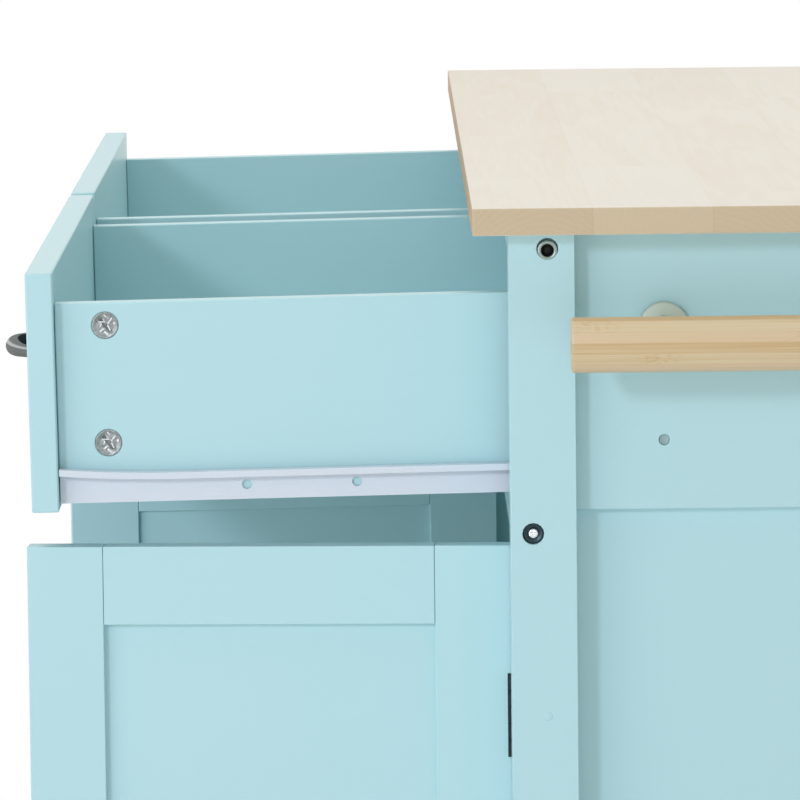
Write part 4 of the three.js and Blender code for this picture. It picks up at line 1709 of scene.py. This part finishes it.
@dataclass
class Drawer:
    """A drawer box on its two profiles, with its front, handle and cam locks."""

    hand: Hand
    centre_x: float
    axle_y: float = -49.921 * MM
    axle_z: float = 743.8 * MM
    fall_degrees: float = 0.88
    extension: float = 265.4 * MM
    box_half: float = 261 * MM
    side_rounding: float = 0.7 * MM
    front_rounding: float = 0.9 * MM
    back_rounding: float = 0.6 * MM
    bottom_rounding: float = 0.2 * MM
    steel_rounding: float = 0.22 * MM
    front_back: float = -12.8 * MM
    front_thickness: float = 15 * MM
    front_middle: float = 55.9 * MM
    side_top: float = 104.4 * MM
    side_end: float = 357.2 * MM
    cam_inset: float = 28.1 * MM
    cam_drop: float = 12.7 * MM
    cam_spacing: float = 65.4 * MM
    cam_turn: float = 0.15
    cam_seed: int = 11
    cam_seed_step: int = 5
    cam_rings: Rings = (
        (0, -3), (7.4, -3), (7.4, -0.35), (7.1, -0.1), (6.5, -0.1), (6.2, -0.45), (2.9, -0.5),
        (2.6, -0.25), (0, -0.25),
    )
    cam_sides: int = 48
    slot_arm: float = 3.9 * MM
    slot_half: float = 0.75 * MM
    slot_floor: float = -2.4 * MM
    slot_degrees: float = 40
    cam_ribs: tuple[tuple[float, float, float, float, float], ...] = (
        (2.7, 2.6, 55, 4.2, 0.9), (2.3, -1.5, -65, 3.3, 0.9), (5.2, 1.2, 80, 1.6, 1.3),
        (-1.5, -2.6, 38, 3.2, 1.0), (0.7, -4.4, -40, 3.2, 1.3), (2.7, -5.6, 45, 2.2, 0.8),
        (0.0, 5.2, -40, 2.2, 0.8), (-2.3, 0.0, 70, 2.1, 0.7), (-1.6, 1.9, 0, 3.8, 0.7),
    )
    rib_level: float = -0.3 * MM
    rib_height: float = 0.55 * MM
    rib_rounding: float = 0.12 * MM
    roller: float = 8.5 * MM
    roller_width: float = 4.2 * MM
    roller_offset: float = 4.3 * MM
    roller_edge: float = 0.5 * MM
    roller_sides: int = 48
    hub_rings: Rings = ((2.5, 0), (4.2, 0), (4.5, 0.5), (6.6, 0.5), (6.9, 0))
    rear_roller_y: float = 326.8 * MM
    rear_roller_growth: float = 0.06 * MM

    @property
    def body(self) -> str:
        """Returns: the body that it moves with."""
        return f"drawer_{self.hand.word}"

    def runner_stand(self) -> Matrix:
        """Returns: where the runners' own frame stands."""
        fall = spin(self.fall_degrees, "X")
        return Matrix.Translation((self.centre_x, self.axle_y, self.axle_z)) @ fall

    def stand(self) -> Matrix:
        """Returns: where the drawn-out drawer stands."""
        return self.runner_stand() @ Matrix.Translation((0, -self.extension, 0))

    def boards(self) -> None:
        """Makes the box's boards in place of their nodes."""
        pieces = {
            "side_r": (MINT, Run.Y, self.side_rounding),
            "side_l": (MINT, Run.Y, self.side_rounding),
            "front": (MINT, Run.X, self.front_rounding),
            "back": (MINT, Run.X, self.back_rounding),
            "bottom": (LINING_PAINTED_LIGHT, Run.X, self.bottom_rounding),
        }
        for part, (finish, run, rounding) in pieces.items():
            self.copied(f"{self.body}_{part}", "board", finish, run, rounding, self.body, self.stand())

    def copied(self, node: str, kind: str, finish: Finish, run: Run, rounding: float, body: str,
               stand: Matrix) -> None:
        """Makes a rounded piece in place of a node.

        Args:
            node: the node.
            kind: what the piece's name ends with.
            finish: its finish.
            run: the axis that its fibres follow.
            rounding: how far its edges are rounded over.
            body: the body that it moves with.
            stand: where its own axes stand.
        """
        form = Form(f"{node}_{kind}")
        form.take(node_copy(node, rounding), finish, run, stand.inverted())
        form.settle(body, None, node)

    def cam(self, facing: int) -> tuple[bmesh.types.BMesh, bmesh.types.BMesh]:
        """Makes a cast cam with a cross recess, and the bright ribs on it.

        Args:
            facing: its sign along X.
        Returns:
            The disc and the ribs, standing on the origin.
        """
        disc = turned(metres(self.cam_rings), (0, 0, 0), (0, 0, 1), self.cam_sides)
        slots = []
        for degrees in (self.slot_degrees, self.slot_degrees + QUARTER):
            slot = slab((-self.slot_arm, -self.slot_half, self.slot_floor),
                        (self.slot_arm, self.slot_half, MM), 0)
            slot.transform(spin(degrees, "Z"))
            slots.append(slot)
        disc = cut_away(disc, slots)
        ribs = bmesh.new()
        for across, up, degrees, length, width in self.cam_ribs:
            place = Matrix.Translation((-up * MM, across * MM, self.rib_level))
            place = place @ spin(degrees + QUARTER, "Z")
            place = place @ Matrix.Diagonal((length * MM, width * MM, self.rib_height, 1))
            bmesh.ops.create_cube(ribs, size=1.0, matrix=place)
        ease(ribs, self.rib_rounding)
        for part in (disc, ribs):
            part.transform(tilt((facing, 0, 0)))
        return disc, ribs

    def cams(self, tool: RowTool) -> None:
        """Makes the four cams on each side.

        Args:
            tool: the tool that repeats them.
        """
        form = Form(f"{self.body}_cams")
        for facing in (1, -1):
            places = (self.front_back + self.cam_inset, self.side_end - self.cam_inset)
            for number, y in enumerate(places):
                start = (facing * self.box_half, y, self.side_top - self.cam_drop)
                seed = self.cam_seed + number + self.cam_seed_step * facing
                for piece, finish in zip(self.cam(facing), (CAM_METAL, CAM_BRIGHT)):
                    part = tool.run(
                        piece, finish, Count=2, Start=start, Step=(0, 0, -self.cam_spacing),
                        Axis=(1, 0, 0), Turn=self.cam_turn, Seed=seed,
                    )
                    form.take(part, finish, Run.X)
        form.settle(self.body, self.stand())

    def wheel(self, side: int, at_y: float, grow: float) -> bmesh.types.BMesh:
        """Makes a roller with a dished hub.

        Args:
            side: which side of the drawer it is on.
            at_y: where its axle is.
            grow: how much larger it is than its node.
        Returns:
            The roller.
        """
        rim, width = self.roller + grow, self.roller_width + 2 * grow
        half = [*metres(self.hub_rings), (rim - self.roller_edge, 0), (rim, self.roller_edge)]
        profile = half + [(radius, width - height) for radius, height in reversed(half)]
        near = side * (self.box_half + self.roller_offset - grow)
        return turned(profile, (near, at_y, 0), (side, 0, 0), self.roller_sides)

    def runners(self) -> None:
        """Makes profiles, channels and rollers."""
        channel = self.runner_stand()
        for side, end in ((1, "r"), (-1, "l")):
            profile_node = f"{self.body}_profile_{end}"
            channel_node = f"channel_{self.hand.word}_{end}"
            steel = (RUNNER_METAL, Run.Y, self.steel_rounding)
            self.copied(profile_node, "steel", *steel, self.body, self.stand())
            self.copied(channel_node, "steel", *steel, "cabinet", channel)
            node = f"roller_{self.hand.word}_{end}"
            form = Form(f"{node}_wheel")
            form.take(self.wheel(side, 0.0, 0.0), ROLLER_PLASTIC, Run.X)
            form.settle(node, channel, node)
            rear = Form(f"{self.body}_rear_wheel_{end}")
            wheel = self.wheel(side, self.rear_roller_y, self.rear_roller_growth)
            rear.take(wheel, ROLLER_PLASTIC, Run.X)
            rear.settle(self.body, self.stand())

    def build(self, bow: BowTool, handle: BowHandle, screws: Screws) -> None:
        """Makes the whole drawer with its runners.

        Args:
            bow: the tool that sweeps handles.
            handle: the handle.
            screws: what makes rows of screws.
        """
        self.boards()
        self.cams(screws.tool)
        self.runners()
        face = self.front_back - self.front_thickness - handle.gap
        middle = Matrix.Translation((0, face, self.front_middle))
        handle.make(bow, f"{self.body}_handle", self.body, self.stand() @ middle)
        form = Form(f"{self.body}_handle_screws")
        start = (-handle.span / 2, self.front_back, self.front_middle)
        screws.row(form, 2, start, (handle.span, 0, 0), (0, 1, 0), BOLT_BRIGHT)
        form.settle(self.body, self.stand())


@dataclass
class Bolts:
    """What fills the bores of the end posts and rails: sleeves, bolt heads and plugs.

    Profiles are in millimetres from the end's own face. Places are across from the posts'
    front faces and down from the worktop.
    """

    face: float = 576.5 * MM
    rail_face: float = 562.5 * MM
    centre: float = -18.5 * MM
    front: float = -78.921 * MM
    top: float = 885 * MM
    sleeve_place: Span = (21.2 * MM, 10 * MM)
    upper_bolt: Span = (12.2 * MM, 165.5 * MM)
    lower_bolt: Span = (10.2 * MM, 800 * MM)
    pilot_place: Span = (84.8 * MM, 116 * MM)
    plug_place: Span = (19.6 * MM, 266.5 * MM)
    sleeve_rings: Rings = (
        (3.4, -5.8), (5.6, -5.8), (5.6, -0.9), (5.1, -0.4), (3.9, -0.6), (3.55, -0.9), (3.4, -1.4),
    )
    # The black disc of painted shade at the bottom of the sleeve's bore.
    bore_rings: Rings = ((0, -6), (3.42, -6), (3.42, -4.6), (0, -4.6))
    head_rings: Rings = (
        (0, -5.9), (5.75, -5.9), (5.75, -3.0), (5.2, -2.5), (4.6, -2.6), (3.5, -3.4), (0, -3.5),
    )
    tip_rings: Rings = ((0, -3.6), (2.9, -3.6), (2.8, -2.2), (2.2, -1.6), (0, -1.4))
    pilot_rings: Rings = ((0, -5), (2.85, -5), (2.85, -0.9), (2.2, -1.3), (0, -1.6))
    plug_rings: Rings = ((0, -0.5), (2.3, -0.5), (2.3, 0.02), (1.9, 0.12), (0, 0.16))
    slot_arm: float = 2.1 * MM
    slot_half: float = 0.35 * MM
    slot_floor: float = -2.3 * MM
    sides: int = 40
    pilot_sides: int = 32
    small_sides: int = 24

    def at(self, hand: Hand, place: Span, reach: float = 0.0) -> Point:
        """Places a fastening on an end of the unit.

        Args:
            hand: which end.
            place: across and down.
            reach: how far out of the end's own face.
        Returns:
            The place.
        """
        across, drop = place
        outward = self.face - self.centre + reach
        return (self.centre + hand.value * outward, self.front + across, self.top - drop)

    def sleeve(self, form: Form, hand: Hand) -> None:
        """Adds a plated sleeve, with a black disc deep in its bore as painted shade.

        Args:
            form: the piece.
            hand: which end.
        """
        for rings, finish in ((self.sleeve_rings, SLEEVE_METAL), (self.bore_rings, BORE_PAINTED_SHADE)):
            part = turned(metres(rings), self.at(hand, self.sleeve_place), (hand.value, 0, 0), self.sides)
            form.take(part, finish, Run.X)

    def head(self, form: Form, hand: Hand, place: Span) -> None:
        """Adds a dark bolt head with a bright cross-cut tip.

        Args:
            form: the piece.
            hand: which end.
            place: across and down.
        """
        axis = (hand.value, 0, 0)
        spot = self.at(hand, place)
        form.take(turned(metres(self.head_rings), spot, axis, self.sides), BOLT_DARK, Run.X)
        tip = turned(metres(self.tip_rings), (0, 0, 0), (0, 0, 1), self.small_sides)
        tip = cross_cut(tip, self.slot_arm, self.slot_half, self.slot_floor, 0)
        tip.transform(Matrix.Translation(spot) @ tilt(axis))
        form.take(tip, BOLT_BRIGHT, Run.X)

    def pilot(self, form: Form, hand: Hand) -> None:
        """Adds the sunk grey plug below the front bracket.

        Args:
            form: the piece.
            hand: which end.
        """
        spot = self.at(hand, self.pilot_place, self.rail_face - self.face)
        part = turned(metres(self.pilot_rings), spot, (hand.value, 0, 0), self.pilot_sides)
        form.take(part, PLUG_GREY, Run.X)

    def build(self) -> None:
        """Makes the fastenings of both ends."""
        for hand in Hand:
            form = Form(f"bolts_{hand.word}")
            self.sleeve(form, hand)
            self.head(form, hand, self.upper_bolt)
            self.head(form, hand, self.lower_bolt)
            self.pilot(form, hand)
            form.settle("cabinet")
            plug = Form(f"post_plug_{hand.word}")
            spot = self.at(hand, self.plug_place)
            dome = turned(metres(self.plug_rings), spot, (hand.value, 0, 0), self.small_sides)
            plug.take(dome, MINT, Run.Z)
            plug.settle("cabinet")


DRAWERS = (Drawer(Hand.RIGHT, centre_x=263 * MM), Drawer(Hand.LEFT, centre_x=-300 * MM))
DOORS = (
    Door(Hand.RIGHT, "outer", pin_x=535.5 * MM, reach=-1, open_degrees=86.7),
    Door(Hand.RIGHT, "inner", pin_x=-9.5 * MM, reach=1, open_degrees=85.0),
    Door(Hand.LEFT, "inner", pin_x=-27.5 * MM, reach=-1, open_degrees=0.0),
    Door(Hand.LEFT, "outer", pin_x=-572.5 * MM, reach=1, open_degrees=0.0),
)


# ---------- studio ----------


@dataclass(frozen=True)
class Lamp:
    """A square soft light, pointed at its aim."""

    name: str
    place: Point
    aim: Point
    side: float
    power: float
    tint: Point = WHITE

    def hang(self) -> None:
        """Hangs it in the scene, unseen by the camera."""
        data = bpy.data.lights.new(self.name, "AREA")
        data.size = self.side
        data.energy = self.power
        data.color = self.tint
        holder = linked(self.name, data)
        holder.visible_camera = False
        holder.location = self.place
        ahead = Vector(self.aim) - Vector(self.place)
        holder.rotation_euler = ahead.to_track_quat("-Z", "Y").to_euler()


@dataclass
class Studio:
    """Floor, light, background and the camera at the viewpoint."""

    eye: Point = (4.18968, -0.146996, 1.19435)
    yaw: float = 0.00225276
    pitch: float = 0.1103259
    roll: float = -0.01097357
    focal_pixels: float = 6661.05
    sensor: float = 36.0
    far_clip: float = 60.0
    key_aim: Point = (0.5, -0.15, 0.7)
    key_degrees: float = 28
    key_distance: float = 3.4
    key_rise: float = 1.15
    key_side: float = 0.42
    key_power: float = 27.0
    key_tint: Point = (0.95, 0.99, 1.12)
    soft_lamps: tuple[Lamp, ...] = (
        Lamp("front", (5.0, -0.2, 0.9), (0.5, -0.2, 0.6), side=2.8, power=9.0),
        Lamp("side", (2.3, -2.5, 0.8), (0.2, -0.2, 0.7), side=1.6, power=13.0),
        Lamp("back", (-1.2, 2.7, 3.0), (0.0, 0.0, 0.7), side=2.0, power=22.0),
        Lamp("top", (0.15, -0.6, 3.3), (-0.1, -0.1, 0.8), side=2.6, power=27.5),
    )
    fill: float = 0.45
    fill_tint: Colour = (1.0, 1.0, 0.92, 1.0)
    floor_radius: float = 7.0
    floor_bottom: float = -0.02
    floor_top: float = -0.0005
    floor_sides: int = 96
    floor_fade: Span = (1.1, 2.6)
    floor_colour: Colour = (0.94, 0.94, 0.94, 1.0)
    floor_tone: float = 0.985
    grit_scale: float = 120.0
    grit_tone: float = 0.03
    floor_roughness: float = 0.8

    def camera(self) -> None:
        """Sets the camera."""
        ahead = Vector((-math.cos(self.yaw), math.sin(self.yaw), 0))
        beside = Vector((math.sin(self.yaw), math.cos(self.yaw), 0))
        above = Vector((0, 0, 1))
        view = ahead * math.cos(self.pitch) - above * math.sin(self.pitch)
        crown = above * math.cos(self.pitch) + ahead * math.sin(self.pitch)
        right = beside * math.cos(self.roll) + crown * math.sin(self.roll)
        up = crown * math.cos(self.roll) - beside * math.sin(self.roll)
        data = bpy.data.cameras.new("viewpoint")
        data.sensor_width = self.sensor
        data.lens = self.focal_pixels * self.sensor / IMAGE_SIDE
        data.clip_end = self.far_clip
        holder = linked("viewpoint", data)
        columns = Matrix((right, up, -view)).transposed().to_4x4()
        holder.matrix_world = Matrix.Translation(self.eye) @ columns
        bpy.context.scene.camera = holder

    def floor(self) -> None:
        """Lays a pale round floor that fades into the white background."""
        part = turned(rod(self.floor_radius, self.floor_bottom, self.floor_top), (0, 0, 0), (0, 0, 1),
                      self.floor_sides)
        data = bpy.data.meshes.new("floor")
        part.to_mesh(data)
        part.free()
        material = bpy.data.materials.new("floor_pale")
        material.use_nodes = True
        graph = Graph(material.node_tree)
        place = graph.out("ShaderNodeTexCoord", None, None, "Object")
        reach = graph.out("ShaderNodeVectorMath", {"operation": "LENGTH"}, {0: place}, 1)
        shader = material.node_tree.nodes["Principled BSDF"]
        tone = self.floor_tone + graph.noise(place, self.grit_scale) * self.grit_tone
        graph.feed(shader.inputs["Base Color"], graph.toned(self.floor_colour, tone))
        graph.feed(shader.inputs["Roughness"], self.floor_roughness)
        glow = graph.out("ShaderNodeEmission", None, {0: (*WHITE, 1.0), 1: 1.0})
        shares = {0: reach.ramp(*self.floor_fade), 1: Signal(graph, shader.outputs[0]), 2: glow}
        both = graph.out("ShaderNodeMixShader", None, shares)
        graph.feed(material.node_tree.nodes["Material Output"].inputs[0], both)
        data.materials.append(material)
        linked("floor", data)

    def sky(self) -> None:
        """Sets a white background that lights the object less strongly than it shows."""
        world = bpy.data.worlds.new("studio")
        world.use_nodes = True
        bpy.context.scene.world = world
        graph = Graph(world.node_tree)
        path = graph.node("ShaderNodeLightPath")
        seen = Signal(graph, path.outputs["Is Camera Ray"]) + Signal(graph, path.outputs["Is Glossy Ray"])
        shader = world.node_tree.nodes["Background"]
        graph.feed(shader.inputs["Color"], graph.mix(seen, self.fill_tint, (*WHITE, 1.0)))
        graph.feed(shader.inputs["Strength"], self.fill + seen * (1.0 - self.fill))

    def build(self) -> None:
        """Sets the whole studio up."""
        scene = bpy.context.scene
        scene.view_settings.view_transform = "Standard"
        self.camera()
        self.floor()
        self.sky()
        turn = math.radians(self.key_degrees)
        x, y, z = self.key_aim
        place = (x + self.key_distance * math.cos(turn), y - self.key_distance * math.sin(turn),
                 z + self.key_rise)
        key = Lamp("key", place, self.key_aim, self.key_side, self.key_power, self.key_tint)
        for lamp in (key, *self.soft_lamps):
            lamp.hang()


def main() -> None:
    """Builds the sub-assemblies in order, then the studio."""
    logging.basicConfig(level=logging.INFO, format="%(name)s: %(message)s")
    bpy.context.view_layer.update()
    bow, row = BowTool(), RowTool()
    handle, hinge, screws = BowHandle(), Hinge(), Screws(row)
    Worktop().build()
    Carcass().build(row)
    TowelBar().build()
    Bolts().build()
    for drawer in DRAWERS:
        drawer.build(bow, handle, screws)
    for door in DOORS:
        door.build(bow, handle, hinge, screws)
    Studio().build()


if __name__ == "__main__":
    main()
